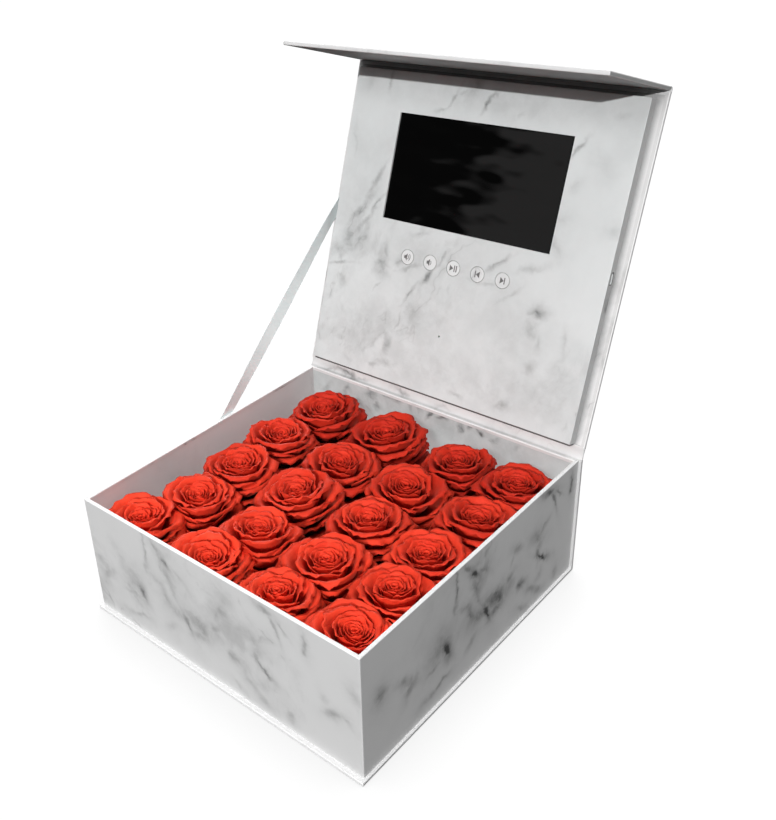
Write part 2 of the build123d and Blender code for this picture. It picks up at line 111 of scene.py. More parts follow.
# Steps of rounded corners, half circles, whole circles and curved sheets
CORNER_STEPS = 4
ARC_STEPS = 12
ROUND_STEPS = 64
CURVE_STEPS = 14

# Tones
WHITE = (1.0, 1.0, 1.0)
RIBBON_TINT = (0.91, 1.0, 1.0)
PRINT_DARK = 0.07

# Camera in degrees and metres, its focal length and centre in pixels of the photograph's frame
FRAME = (776, 820)
CAMERA_ANGLES = (45.4152, 28.3965, -4.7074)
CAMERA_PLACE = (0.41032, -0.46412, 0.53124)
CAMERA_PIXELS = (992.678, 265.806, 377.197)
KEY_DIRECTION = (0.435, -0.815, 0.385)
KEY_STRENGTH = 2.3


def turn_about(y, z, angle):
    """A rotation about the line along X through (y, z), in metres."""
    place = Matrix.Translation((0, y * MM, z * MM))
    return place @ Matrix.Rotation(radians(angle), 4, "X") @ place.inverted()


LID = turn_about(*HINGE, -OPEN_ANGLE)
FLAP = LID @ turn_about(LID_FRONT, LID_INSIDE, FLAP_FOLD_OVER)


# Shader helpers

def material(name, **inputs):
    m = bpy.data.materials.new(name)
    m.use_nodes = True
    shader = m.node_tree.nodes["Principled BSDF"]
    for key, value in inputs.items():
        shader.inputs[key.replace("_", " ")].default_value = value
    return m, m.node_tree, shader


def node(tree, kind, inputs=None, **settings):
    n = tree.nodes.new("ShaderNode" + kind)
    for key, value in settings.items():
        setattr(n, key, value)
    for key, value in (inputs or {}).items():
        if isinstance(value, bpy.types.NodeSocket):
            tree.links.new(value, n.inputs[key])
        else:
            n.inputs[key].default_value = value
    return n


def noise(tree, vector, scale, detail=3.0, rough=0.55):
    values = {"Vector": vector, "Scale": scale, "Detail": detail, "Roughness": rough}
    return node(tree, "TexNoise", values).outputs["Fac"]


def ramp(tree, value, low, high, to_low=0.0, to_high=1.0):
    values = {
        "Value": value, "From Min": low, "From Max": high, "To Min": to_low, "To Max": to_high,
    }
    return node(tree, "MapRange", values, interpolation_type="SMOOTHSTEP").outputs["Result"]


def maths(tree, operation, a, b=0.0, clamp=False):
    return node(tree, "Math", {0: a, 1: b}, operation=operation, use_clamp=clamp).outputs[0]


def plus(tree, a, b, clamp=False):
    return maths(tree, "ADD", a, b, clamp)


def minus(tree, a, b):
    return maths(tree, "SUBTRACT", a, b)


def times(tree, a, b, clamp=False):
    return maths(tree, "MULTIPLY", a, b, clamp)


def coordinates(tree, kind="Object"):
    return node(tree, "TexCoord").outputs[kind]


def split(tree, vector):
    """The parts of a vector, by their letters."""
    return node(tree, "SeparateXYZ", {0: vector}).outputs


def flat_place(tree, u, v):
    return node(tree, "CombineXYZ", {"X": u, "Y": v}).outputs[0]


def mix(tree, factor, a, b):
    return node(tree, "Mix", {0: factor, 6: a, 7: b}, data_type="RGBA").outputs[2]


def grey(level, tint=WHITE):
    return (level * tint[0], level * tint[1], level * tint[2], 1.0)


def surface(tree, shader, color, height, strength, distance):
    """The colour of a material and its fine relief."""
    tree.links.new(color, shader.inputs["Base Color"])
    raised = node(tree, "Bump", {"Height": height, "Strength": strength, "Distance": distance})
    tree.links.new(raised.outputs[0], shader.inputs["Normal"])


def mapped(tree, location=(0, 0, 0), rotation=(0, 0, 0), scale=(1, 1, 1)):
    """Object coordinates, moved and turned first and stretched after."""
    placed = {"Vector": coordinates(tree), "Location": location, "Rotation": rotation}
    turned = node(tree, "Mapping", placed)
    return node(tree, "Mapping", {"Vector": turned.outputs[0], "Scale": scale}).outputs[0]


# Materials

def wandering(t, vector, scale, amount):
    """The coordinates pushed about by a noise, so that what is drawn on them wanders."""
    sway = node(t, "TexNoise", {"Vector": vector, "Scale": scale, "Detail": 4.0, "Roughness": 0.6})
    halves = {0: sway.outputs["Color"], 1: (0.5, 0.5, 0.5)}
    centred = node(t, "VectorMath", halves, operation="SUBTRACT")
    pushed = node(t, "VectorMath", {0: centred.outputs[0], "Scale": amount}, operation="SCALE")
    return node(t, "VectorMath", {0: vector, 1: pushed.outputs[0]}, operation="ADD").outputs[0]


def blotted(t, flat, blots):
    """Soft ellipses of a flat (u, v) in millimetres, the strongest one at each place."""
    flat = wandering(t, wandering(t, flat, 20.0, 0.022), 85.0, 0.008)
    most = 0.0
    for u, v, half_long, half_wide, angle, amount in blots:
        ellipse = {
            "Vector": flat,
            "Location": (u * MM, v * MM, 0),
            "Rotation": (0, 0, radians(angle)),
            "Scale": (half_long * MM, half_wide * MM, 1),
        }
        own = node(t, "Mapping", ellipse, vector_type="TEXTURE").outputs[0]
        away = node(t, "VectorMath", {0: own, 1: own}, operation="DOT_PRODUCT").outputs["Value"]
        spread = maths(t, "POWER", plus(t, times(t, away, 0.75), 1.0), -1.5)
        most = maths(t, "MAXIMUM", most, times(t, spread, 0.0115 * amount))
    grain = ramp(t, noise(t, flat, 60.0, 7.0, 0.66), 0.30, 0.68, 0.40, 1.15)
    return times(t, most, grain, True)


def on_shut_lid(t):
    """Across and up on the panel, whose plane leans with the lid."""
    inverse = LID.inverted()
    place = split(t, mapped(t, inverse.to_translation(), inverse.to_euler()))
    return flat_place(t, place["X"], minus(t, PANEL_REAR * MM, place["Y"]))


def on_side_wall(t):
    """1 on the tray's left and right walls, 0 elsewhere."""
    facing = split(t, coordinates(t, "Normal"))["X"]
    return maths(t, "GREATER_THAN", maths(t, "ABSOLUTE", facing), 0.7)


def stronger_at_side(t):
    return plus(t, 0.82, times(t, on_side_wall(t), 0.60))


def round_tray(t):
    """Along and up on each outside wall: the print starts again on the side walls."""
    place = split(t, coordinates(t))
    along = minus(t, place["Y"], PRINT_SHIFT * MM)
    step = times(t, on_side_wall(t), minus(t, along, place["X"]))
    return flat_place(t, plus(t, place["X"], step), place["Z"])


def papery(t, shader, color, fibre, corners=None):
    """Paper's colour and fibre, with shade painted into inner corners where other pieces crowd
    round.
    """
    if corners:
        near = node(t, "AmbientOcclusion", {"Distance": corners[0]}, samples=16).outputs["AO"]
        share = ramp(t, near, *corners[1:])
        color = node(t, "VectorMath", {0: color, "Scale": share}, operation="SCALE").outputs[0]
    surface(t, shader, color, noise(t, mapped(t), 1400.0, 2.0), fibre, 0.0002)


def marble(
    name, along, location, depth=1.0, base=0.68, tint=WHITE,
    blots=(), flat=None, gain=None, corners=None,
):
    """Printed marble paper: soft grey smudges in drifting bands, with thin broken veins.
    Where smudges are listed, the drifting ones are only a faint ground."""
    m, t, shader = material(name, Roughness=0.42, Specular_IOR_Level=0.3)
    turn = Vector(along).rotation_difference(Vector((1, 0, 0))).to_euler()
    even = mapped(t, location, turn)
    bent = wandering(t, even, 12.0, 0.055)

    def drawn_out(ratio, *settings):
        longer = node(t, "Mapping", {"Vector": bent, "Scale": (ratio, 1.0, 1.0)}).outputs[0]
        return noise(t, longer, *settings)

    band = ramp(t, drawn_out(0.45, 9.5, 2.0), 0.48, 0.64)
    smudge = ramp(t, drawn_out(0.5, 36.0, 6.0, 0.62), 0.47, 0.74)
    core = ramp(t, drawn_out(0.55, 52.0, 5.0, 0.6), 0.58, 0.74)
    cloud = ramp(t, noise(t, even, 13.0, 5.0, 0.6), 0.42, 0.80)
    vein = maths(t, "ABSOLUTE", minus(t, drawn_out(0.38, 17.0, 4.0), 0.5))
    broken = ramp(t, noise(t, even, 30.0), 0.46, 0.62)
    line = times(t, ramp(t, vein, 0.0, 0.010, 1.0, 0.0), broken)
    halo = times(t, ramp(t, vein, 0.0, 0.06, 1.0, 0.0), broken)
    drifting = depth * (0.45 if blots else 1.0)
    wide = plus(t, times(t, band, 0.9), 0.1)
    dark = times(t, times(t, smudge, wide), 0.50 * drifting)
    for layer, amount in ((core, 0.42), (line, 0.40), (halo, 0.16)):
        dark = plus(t, dark, times(t, times(t, layer, band), amount * drifting), True)
    dark = plus(t, dark, times(t, cloud, 0.14 * depth), True)
    if blots:
        placed = blotted(t, flat(t), blots)
        if gain:
            placed = times(t, placed, gain(t))
        dark = plus(t, dark, placed, True)
    papery(t, shader, mix(t, dark, grey(base, tint), grey(PRINT_DARK, tint)), 0.10, corners)
    return m


def in_back_wall(t):
    """Across and up on the tray's inside."""
    place = split(t, coordinates(t))
    return flat_place(t, place["X"], place["Z"])


def only_back_wall(t):
    return maths(t, "GREATER_THAN", split(t, coordinates(t))["Y"], (INNER_HALF - 1.0) * MM)


def plain_paper(name, level):
    m, t, shader = material(name, Roughness=0.5)
    color = mix(t, noise(t, mapped(t), 60.0), grey(level * 0.97), grey(level))
    papery(t, shader, color, 0.12)
    return m


def speckled(
    name, low, high, scale, rough=0.7, metal=0.0, relief=0.2, distance=0.0003, stretch=(1, 1, 1)
):
    """Two tones in a fine grain, for board, foam, plastic and brushed metal."""
    m, t, shader = material(name, Roughness=rough, Metallic=metal)
    grain = noise(t, mapped(t, scale=stretch), scale, 4.0, 0.65)
    surface(t, shader, mix(t, ramp(t, grain, 0.3, 0.7), low, high), grain, relief, distance)
    return m


def circuit(name):
    """Green solder mask with paler copper traces under it."""
    m, t, shader = material(name, Roughness=0.35)
    cells = node(t, "TexVoronoi", {"Vector": mapped(t), "Scale": 260.0}, distance="MANHATTAN")
    trace = ramp(t, cells.outputs["Distance"], 0.22, 0.30)
    green = mix(t, trace, (0.02, 0.19, 0.07, 1), (0.01, 0.09, 0.035, 1))
    surface(t, shader, green, trace, 0.2, 0.0001)
    return m


def screen_with_painted_reflection(name):
    """Black glass with a painted reflection: its colour a little paler towards its right, with
    faint smears.
    """
    m, t, shader = material(name, Roughness=0.16, Specular_IOR_Level=0.1)
    flat = on_shut_lid(t)
    place = split(t, flat)
    drawn = node(t, "Mapping", {"Vector": flat, "Rotation": (0, 0, 0.35), "Scale": (1.0, 2.8, 1.0)})
    smear = noise(t, drawn.outputs[0], 30.0, 1.0)
    screen_middle = 0.177
    slant = times(t, minus(t, place["Y"], screen_middle), -0.30)
    across = plus(t, plus(t, place["X"], slant), times(t, minus(t, smear, 0.5), 0.16))
    # The paler right part of the colour is a painted reflection
    color = mix(t, ramp(t, across, -0.012, 0.034), grey(0.0003), grey(0.0155))
    t.links.new(color, shader.inputs["Base Color"])
    t.links.new(ramp(t, smear, 0.35, 0.65, 0.10, 0.22), shader.inputs["Roughness"])
    return m


def satin(name):
    """Woven satin ribbon: fine cross threads and a sheen."""
    m, t, shader = material(name, Roughness=0.42, Sheen_Weight=0.35, Sheen_Roughness=0.3)
    along = node(t, "UVMap").outputs[0]
    threads = node(t, "TexWave", {"Vector": along, "Scale": 1.0, "Distortion": 0.4, "Detail": 1.0})
    color = mix(t, noise(t, mapped(t), 30.0), grey(0.80, RIBBON_TINT), grey(0.88, RIBBON_TINT))
    surface(t, shader, color, threads.outputs["Fac"], 0.06, 0.0001)
    return m


def petal_velvet(name):
    """Preserved rose petals: dense orange red, with painted shade towards the foot and at the back;
    faint ribs along.
    """
    pale = (1.0, 0.35, 0.25, 1)
    m, t, shader = material(
        name, Roughness=0.62, Sheen_Weight=0.1, Sheen_Roughness=0.45, Sheen_Tint=pale
    )
    shader.inputs["Specular IOR Level"].default_value = 0.12
    uv = node(t, "UVMap").outputs[0]
    tone = node(t, "Attribute", attribute_name="tone").outputs["Fac"]
    deep = mix(t, tone, (0.50, 0.022, 0.010, 1), (0.95, 0.068, 0.028, 1))
    blotch = ramp(t, noise(t, mapped(t), 160.0, 4.0, 0.6), 0.35, 0.75, 0.0, 0.35)
    deep = mix(t, blotch, deep, (0.60, 0.016, 0.008, 1))
    # Towards the petal's foot the colour goes dark: painted shade
    color = mix(t, ramp(t, split(t, uv)["Y"], 0.05, 0.65), (0.32, 0.006, 0.005, 1), deep)
    along = node(t, "Mapping", {"Vector": uv, "Scale": (34.0, 2.0, 1.0)}).outputs[0]
    wrinkle = times(t, noise(t, mapped(t), 420.0), 0.5)
    surface(t, shader, color, plus(t, noise(t, along, 1.0), wrinkle), 0.35, 0.0006)
    return m


# Smudges and veins of the marble print, and broad painted shade, in millimetres: middle,
# half length, half width, angle, darkness in hundredths. On the panel they are across and up from
# its hinge edge.
PANEL_PRINT_AND_PAINTED_SHADE = [
    # The broad faint ones on these first three lines are painted shade, not print: a band near the
    # top under the flap, and shade over the left, middle and lower parts
    (-105, 120, 60, 26, 80, 15), (-90, 40, 50, 30, 30, 20), (0, 238, 120, 12, 0, 13),
    (-20, 60, 64, 40, 40, 17), (60, 24, 60, 22, 10, 17), (-60, 205, 60, 18, 20, 11),
    (0, 106, 60, 18, 0, 13), (60, 60, 40, 24, 60, 14), (-20, 20, 95, 24, 4, 20),
    (-88, 166, 16, 2.2, 58, 40), (-100, 142, 20, 4, 56, 42), (-84, 148, 12, 1.6, 50, 42),
    (-95, 128, 17, 2.6, 58, 40), (-115, 101, 13, 8, 10, 42), (-110, 88, 12, 1.8, 12, 46),
    (-105, 72, 9, 6, 60, 26), (-118, 58, 9, 4, 40, 22), (-116, 38, 7, 4, 30, 20),
    (-70, 95, 9, 5.5, 100, 62), (-67, 108, 9, 3, 95, 30), (-72, 74, 7, 1.6, 50, 28),
    (-51, 104, 6, 3.5, 60, 42), (-44, 98, 12, 1.8, 22, 32), (-24, 95, 9, 2.6, 48, 58),
    (-13, 108, 9, 2, 62, 34), (-38, 78, 15, 1.8, 62, 46), (-35, 62, 10, 6, 70, 28),
    (-44, 50, 12, 1.6, 85, 32), (-48, 31, 8, 4.5, 80, 46), (-47, 16, 11, 4.5, 10, 50),
    (-60, 11, 9, 3, 0, 38), (-98, 24, 8, 4, 10, 30), (-84, 49, 13, 3, 12, 20),
    (-75, 38, 12, 3, 40, 18), (78, 91, 7, 3.6, 18, 60), (75, 77, 9, 7, 70, 36),
    (84, 66, 8, 3, 80, 26), (105, 74, 12, 2, 98, 24), (80, 47, 10, 4.5, 50, 28),
    (71, 32, 9, 4, 60, 20), (65, 13, 8, 4.5, 30, 42), (20, 7, 9, 3, 5, 32), (5, 12, 8, 2, 160, 20),
    (81, 142, 8, 4, 110, 28), (83, 158, 9, 7, 90, 16), (34, 118, 12, 1.8, 35, 44),
    (66, 122, 14, 2.4, 28, 26), (52, 98, 16, 2, 40, 22), (26, 101, 14, 1.5, 3, 30),
    (-10, 88, 7, 2.5, 60, 20), (-12, 243, 11, 6.5, 75, 36), (4, 236, 9, 1.5, 55, 62),
    (-30, 236, 10, 1.5, 60, 44), (-40, 226, 6, 1.6, 10, 38), (-22, 241, 9, 1.8, 5, 28),
    (32, 233, 6, 2, 60, 22), (-92, 244, 8, 1.6, 86, 34), (82, 212, 8, 1.6, 50, 42),
    (87, 186, 5, 3, 50, 26), (110, 238, 6, 3, 15, 22), (-112, 240, 10, 6, 40, 16),
    (-118, 192, 12, 2, 100, 18), (100, 206, 12, 6, 120, 12), (-35, 128, 7, 1.8, 15, 26),
    (118, 160, 6, 5, 20, 16),
]
# On the tray's outside they are along the wall and up; the print starts again round the corner
PRINT_SHIFT = 35.0
TRAY_BLOTS = [
    (-66, 90, 15, 1.3, 88, 58), (-67, 71, 6, 2.2, 70, 34), (-50, 98, 9, 2.2, 122, 50),
    (-45, 90, 8, 2.8, 125, 74), (-43, 75, 12, 3.2, 110, 36), (-38, 62, 10, 2.4, 118, 26),
    (-57, 64, 9, 2.8, 150, 32), (-48, 53, 11, 3, 118, 36), (-86, 52, 12, 8, 50, 34),
    (-75, 46, 8, 3.6, 115, 80), (-90, 39, 7, 2.6, 10, 42), (-35, 45, 13, 6, 160, 46),
    (-27, 41, 10, 3.4, 115, 76), (-13, 47, 16, 6.5, 170, 56), (-14, 38, 12, 4, 15, 46),
    (1, 51, 9, 3.6, 30, 40), (39, 68, 10, 4.6, 140, 42), (46, 70, 7, 2, 30, 32),
    (43, 60, 7, 3.4, 95, 38), (43, 51, 6, 1.6, 100, 70), (50, 44, 9, 1.6, 145, 84),
    (20, 38, 6, 3.2, 155, 48), (54, 101, 9, 3.4, 160, 52), (60, 90, 12, 1.8, 112, 50),
    (66, 95, 9, 1.3, 140, 36), (89, 93, 8, 2.2, 100, 46), (89, 87, 4, 2.6, 110, 50),
    (110, 45, 8, 3, 25, 50), (120, 45, 8, 2, 160, 28), (-92, 16, 9, 3, 10, 36),
    (-81, 19, 10, 2.6, 12, 40), (34, 24, 11, 3.6, 140, 26), (44, 16, 9, 3.4, 140, 30),
    (46, 30, 6, 3, 40, 28), (12, 76, 6, 3, 150, 32), (8, 68, 6, 2, 60, 24),
    (22, 12, 8, 3.6, 150, 26), (73, 17, 5, 3.6, 90, 30), (-123, 49, 12, 3, 150, 34),
    (-117, 42, 9, 3, 40, 34), (101, 56, 6, 3, 120, 22), (128, 70, 9, 3, 110, 32),
    (-148, 60, 7, 5, 110, 44), (-43, 30, 8, 2.6, 30, 18), (-32, 84, 12, 2, 140, 24),
]
# Across and up on the tray's back wall, inside
LINING_BLOTS = [
    (0, 98, 150, 24, 0, 22), (-63, 98, 8, 6, 60, 80), (-58, 90, 6, 4, 80, 60),
    (-44, 103, 10, 2.4, 150, 50), (-33, 104, 8, 4, 30, 60), (-22, 99, 7, 3, 140, 50),
    (-15, 103, 6, 3, 140, 90), (-1, 99, 6, 3, 60, 80), (12, 101, 6, 2.6, 20, 75),
    (28, 98, 5, 2.8, 100, 85), (38, 102, 4, 2, 40, 70), (48, 101, 5, 2.2, 120, 80),
    (60, 98, 6, 2.4, 30, 65), (-110, 90, 10, 4, 60, 40), (-92, 93, 9, 2.8, 80, 45),
    (82, 99, 6, 2.4, 40, 30), (-76, 84, 9, 4, 100, 34),
]
# Across and up on the paper that hinges the lid
HINGE_BLOTS = [
    (-95, 108, 14, 2.2, 170, 62), (-78, 108, 8, 1.6, 10, 40), (-34, 107, 8, 1.8, 160, 50),
    (-112, 109, 6, 2.4, 30, 30), (8, 108, 10, 1.6, 5, 24), (70, 108, 14, 1.8, 0, 16),
]
# Shade painted into inner corners: reach, the two ends of openness, what is left at the closed end
SHADE_PAINTED_BESIDE_PANEL = (0.012, 0.50, 0.86, 0.48)
SHADE_PAINTED_UNDER_PANEL = (0.008, 0.40, 0.80, 0.62)
CASE_PRINT = ((0.5, 0.45, 0.74), (0.72, 0.40, 0.18))
FLAP_PRINT = ((0.5, 0.45, 0.74), (0.2, 0.1, 0.3))
LINING_PRINT = ((0.5, 0.5, -0.7), (0.55, 0.05, 0.42))
# The panel's paper is tinted a little cyan against the red light the roses throw on it: a painted
# colour cast
MARBLE_PANEL = marble(
    "marble_panel", (0.37, 0.29, 0.88), (0.31, 0.12, 0.05),
    1.0, 0.715, (0.965, 1.0, 1.0), PANEL_PRINT_AND_PAINTED_SHADE, on_shut_lid,
)
# The panel's right side: its paper darker than on its face, as painted shade
MARBLE_PANEL_SIDE_PAINTED_SHADE = marble("marble_panel_side", (0.5, 0.45, 0.74), (0.4, 0.2, 0.6), base=0.53)
MARBLE_CAP = marble(
    "marble_cap", (0.37, 0.29, 0.88), (0.61, 0.12, 0.05), 0.5, 0.74, (0.98, 1.0, 1.0)
)
MARBLE_CASE = marble("marble_case", *CASE_PRINT)
MARBLE_LID_INSIDE = marble("marble_lid_inside", *CASE_PRINT, base=0.80, corners=SHADE_PAINTED_BESIDE_PANEL)
MARBLE_TRAY = marble(
    "marble_tray", (0.55, -0.55, -0.63), (0.15, 0.63, 0.27),
    blots=TRAY_BLOTS, flat=round_tray, gain=stronger_at_side,
)
# The lining's paper is tinted a little cyan against the red light the roses throw on it: a painted
# colour cast
MARBLE_LINING = marble(
    "marble_lining", *LINING_PRINT,
    1.0, 0.62, (0.94, 1.0, 1.0), LINING_BLOTS, in_back_wall, only_back_wall,
)
MARBLE_LINING_LEFT = marble("marble_lining_left", *LINING_PRINT, 0.7, 0.67)
# The flap's inner face and ends: the case's paper made darker, as painted shade; the inner face is
# also tinted a little cyan against the red light the roses throw on it
MARBLE_FLAP_INSIDE_PAINTED_SHADE = marble("marble_flap_inside", *FLAP_PRINT, 1.0, 0.37, (0.88, 1.0, 1.0))
MARBLE_FLAP_END_PAINTED_SHADE = marble("marble_flap_end", *FLAP_PRINT, 1.0, 0.48)
HINGE_PAPER = marble(
    "hinge_paper", *CASE_PRINT, 0.8, 0.75, blots=HINGE_BLOTS, flat=in_back_wall, corners=SHADE_PAINTED_UNDER_PANEL
)
# Plain paper, lighter than the lid's marble, on the lid's ends and rounded edges: painted light
LID_EDGE_PAINTED_LIGHT = plain_paper("lid_edge", 0.84)
# Dark paper for the socket's rim, and for the strip of painted shade under the panel
DARK_RIM_AND_PAINTED_SHADE = plain_paper("dark_edge", 0.09)
# Pale plain paper on rounded edges, the rim's top and the base's ledge: paper paler at its folds,
# and a painted highlight
PALE_EDGE_AND_PAINTED_HIGHLIGHT = plain_paper("paper_edge", 0.90)
INK = plain_paper("button_ink", 0.14)
CAP_RING = plain_paper("cap_ring", 0.26)
FOLD_PAPER = plain_paper("fold_paper", 0.82)

BOARD_TINT = (1, 0.97, 0.92)
GRAINY = {
    "greyboard": (grey(0.30, BOARD_TINT), grey(0.42, BOARD_TINT), 500.0),
    "magnet": (grey(0.48), grey(0.60), 900.0, 0.28, 1.0, 0.05),
    "foam": ((0.03, 0.05, 0.025, 1), (0.07, 0.11, 0.05, 1), 900.0, 0.9, 0.0, 0.6, 0.0006),
    "screen_frame": (grey(0.34), grey(0.42), 700.0, 0.35, 1.0, 0.05, 0.0001, (1, 0.05, 1)),
    "electronic_parts": (grey(0.02), grey(0.04), 800.0, 0.5),
    "battery_pouch": (grey(0.42), grey(0.55), 300.0, 0.38, 0.6, 0.15),
    "speaker_metal": (grey(0.22), grey(0.30), 700.0, 0.4, 1.0, 0.1),
    "socket_steel": (grey(0.50), grey(0.60), 900.0, 0.3, 1.0, 0.05),
}
BY_SLOT = {slot: speckled(slot, *values) for slot, values in GRAINY.items()}
BY_SLOT.update(
    marble_paper=MARBLE_CASE,
    marble_card=MARBLE_PANEL,
    button_card=MARBLE_PANEL,
    rose_petals=petal_velvet("rose_petals"),
    ribbon=satin("ribbon_satin"),
    screen_glass=screen_with_painted_reflection("screen_glass"),
    circuit_board=circuit("circuit_board"),
)

for entry in frame["record"]["subparts"]:
    cad = frame["nodes"][entry["node"]]
    cad.data.materials.clear()
    cad.data.materials.append(BY_SLOT[entry["material_slot"]])


# Mesh helpers

def linked(name, data):
    o = bpy.data.objects.new(name, data)
    scene.collection.objects.link(o)
    return o


def mesh_of(bm, name):
    bmesh.ops.recalc_face_normals(bm, faces=bm.faces)
    mesh = bpy.data.meshes.new(name)
    bm.to_mesh(mesh)
    bm.free()
    return mesh


def merge(bm, other):
    """Moves the other bmesh's faces into this one."""
    spare = bpy.data.meshes.new("spare")
    other.to_mesh(spare)
    other.free()
    bm.from_mesh(spare)
    bpy.data.meshes.remove(spare)


def piece(name, shape, body, materials, replaces=(), matrix=None, even=True):
    """A bmesh or mesh in millimetres becomes a piece in metres that rides on its body."""
    mesh = mesh_of(shape, name) if isinstance(shape, bmesh.types.BMesh) else shape
    mesh.transform(Matrix.Scale(MM, 4))
    if matrix is not None:
        mesh.transform(matrix)
    for m in materials:
        mesh.materials.append(m)
    mesh.shade_smooth()
    if not even:
        mesh.set_sharp_from_angle(angle=radians(50))
    o = linked(name, mesh)
    if even:
        o.modifiers.new("even_normals", "WEIGHTED_NORMAL").weight = 100
    if body:
        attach(o, body)
    if replaces:
        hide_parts(*replaces)
    return o


def rounded_box(lo, hi, radius, segments=3):
    """A box with rounded edges. Its rounded faces use the second material."""
    bm = bmesh.new()
    bmesh.ops.create_cube(bm, size=1.0)
    for v in bm.verts:
        v.co = Vector([a + (b - a) * (c + 0.5) for a, b, c in zip(lo, hi, v.co)])
    corners = bm.verts[:] + bm.edges[:]
    made = bmesh.ops.bevel(
        bm, geom=corners, offset=radius, segments=segments, profile=0.5, affect="EDGES"
    )
    for f in made["faces"]:
        f.material_index = 1
    return bm


def ring_at(bm, points, z):
    return [bm.verts.new((x, y, z)) for x, y in points]


def between(bm, a, b):
    """The faces between two rings of points."""
    for i in range(len(a)):
        k = (i + 1) % len(a)
        bm.faces.new((a[i], a[k], b[k], b[i]))


def round_and_back(bm, rings):
    """The faces between each ring and the next, and between the last and the first."""
    for a, b in zip(rings, rings[1:] + rings[:1]):
        between(bm, a, b)


def ring_shell(profile, edge_above):
    """A closed (inset, height) profile carried round the tray, from its right back corner on."""
    bm = bmesh.new()
    rings = []
    for inset, z in profile:
        points = []
        for k, (sx, sy) in enumerate(((1, 1), (-1, 1), (-1, -1), (1, -1))):
            radius = max(TRAY_CORNERS[k] - inset, 0.1)
            straight = TRAY_HALF - inset - radius
            for i in range(CORNER_STEPS + 1):
                a = radians(90 * k + 90 * i / CORNER_STEPS)
                points.append((sx * straight + radius * cos(a), sy * straight + radius * sin(a)))
        rings.append(ring_at(bm, points, z))
    round_and_back(bm, rings)
    for f in bm.faces:
        f.material_index = int(min(v.co.z for v in f.verts) >= edge_above)
    return bm


def skin(bm, rows):
    """The faces of a closed sheet: each row has the points of its two sides."""
    last = len(rows[0][0]) - 1
    for (a0, a1), (b0, b1) in zip(rows, rows[1:]):
        for k in range(last):
            bm.faces.new((a0[k], a0[k + 1], b0[k + 1], b0[k]))
            bm.faces.new((a1[k], b1[k], b1[k + 1], a1[k + 1]))
        bm.faces.new((a0[0], b0[0], b1[0], a1[0]))
        bm.faces.new((a0[last], a1[last], b1[last], b0[last]))
    for low, high in (rows[0], rows[-1]):
        for k in range(last):
            bm.faces.new((low[k], low[k + 1], high[k + 1], high[k]))


def bezier(p0, p1, p2, p3):
    """Points of a cubic curve in the (y, z) plane."""
    points = []
    for i in range(CURVE_STEPS + 1):
        t = i / CURVE_STEPS
        w = ((1 - t) ** 3, 3 * t * (1 - t) ** 2, 3 * t * t * (1 - t), t ** 3)
        points.append(tuple(sum(a * p[k] for a, p in zip(w, (p0, p1, p2, p3))) for k in (0, 1)))
    return points


# Case and tray

def build_tray():
    low, fold = RIM - RIM_FOLD, BOARD - PAPER
    rounding = ((0.0, 0.6), (0.09, 0.28), (0.28, 0.08), (0.6, 0.0))
    outside = [(0.0, BASE_TOP)] + [(inset, RIM - drop) for inset, drop in rounding]
    outside += [(BOARD - inset, RIM - drop) for inset, drop in reversed(rounding)]
    outside += [(BOARD, low), (fold, low), (fold, RIM - PAPER)]
    outside += [(PAPER, RIM - PAPER), (PAPER, BASE_TOP)]
    # The rim's top takes the pale paper: painted highlight
    shell = ring_shell(outside, RIM - 0.61)
    piece("tray_wrap", shell, "tray", (MARBLE_TRAY, PALE_EDGE_AND_PAINTED_HIGHLIGHT), ("tray_paper",))
    top = low - 0.02
    inside = [(2.84, top), (2.84, FLOOR_TOP), (2.72, FLOOR_TOP), (2.72, top)]
    lining = ring_shell(inside, RIM)
    half = INNER_HALF
    for f in lining.faces:
        if f.calc_center_median().x < -half:
            f.material_index = 1
    merge(lining, rounded_box((-half, -half, FLOOR_TOP - PAPER), (half, half, FLOOR_TOP), 0.1, 1))
    papers = (MARBLE_LINING, MARBLE_LINING_LEFT)
    piece("tray_lining_sheet", lining, "tray", papers, ("tray_lining",))


def wrap(name, lo, hi, body, node_name, papers, matrix=None, pick=lambda normal: 0):
    """A closed paper wrap whose edges are just round enough to keep its board inside.
    What pick gives for a flat face's normal says which paper the face has."""
    box = rounded_box(lo, hi, WRAP_RADIUS)
    for f in box.faces:
        f.normal_update()
        if f.material_index == 0:
            f.material_index = int(pick(f.normal))
    piece(name, box, body, papers, (node_name,), matrix)


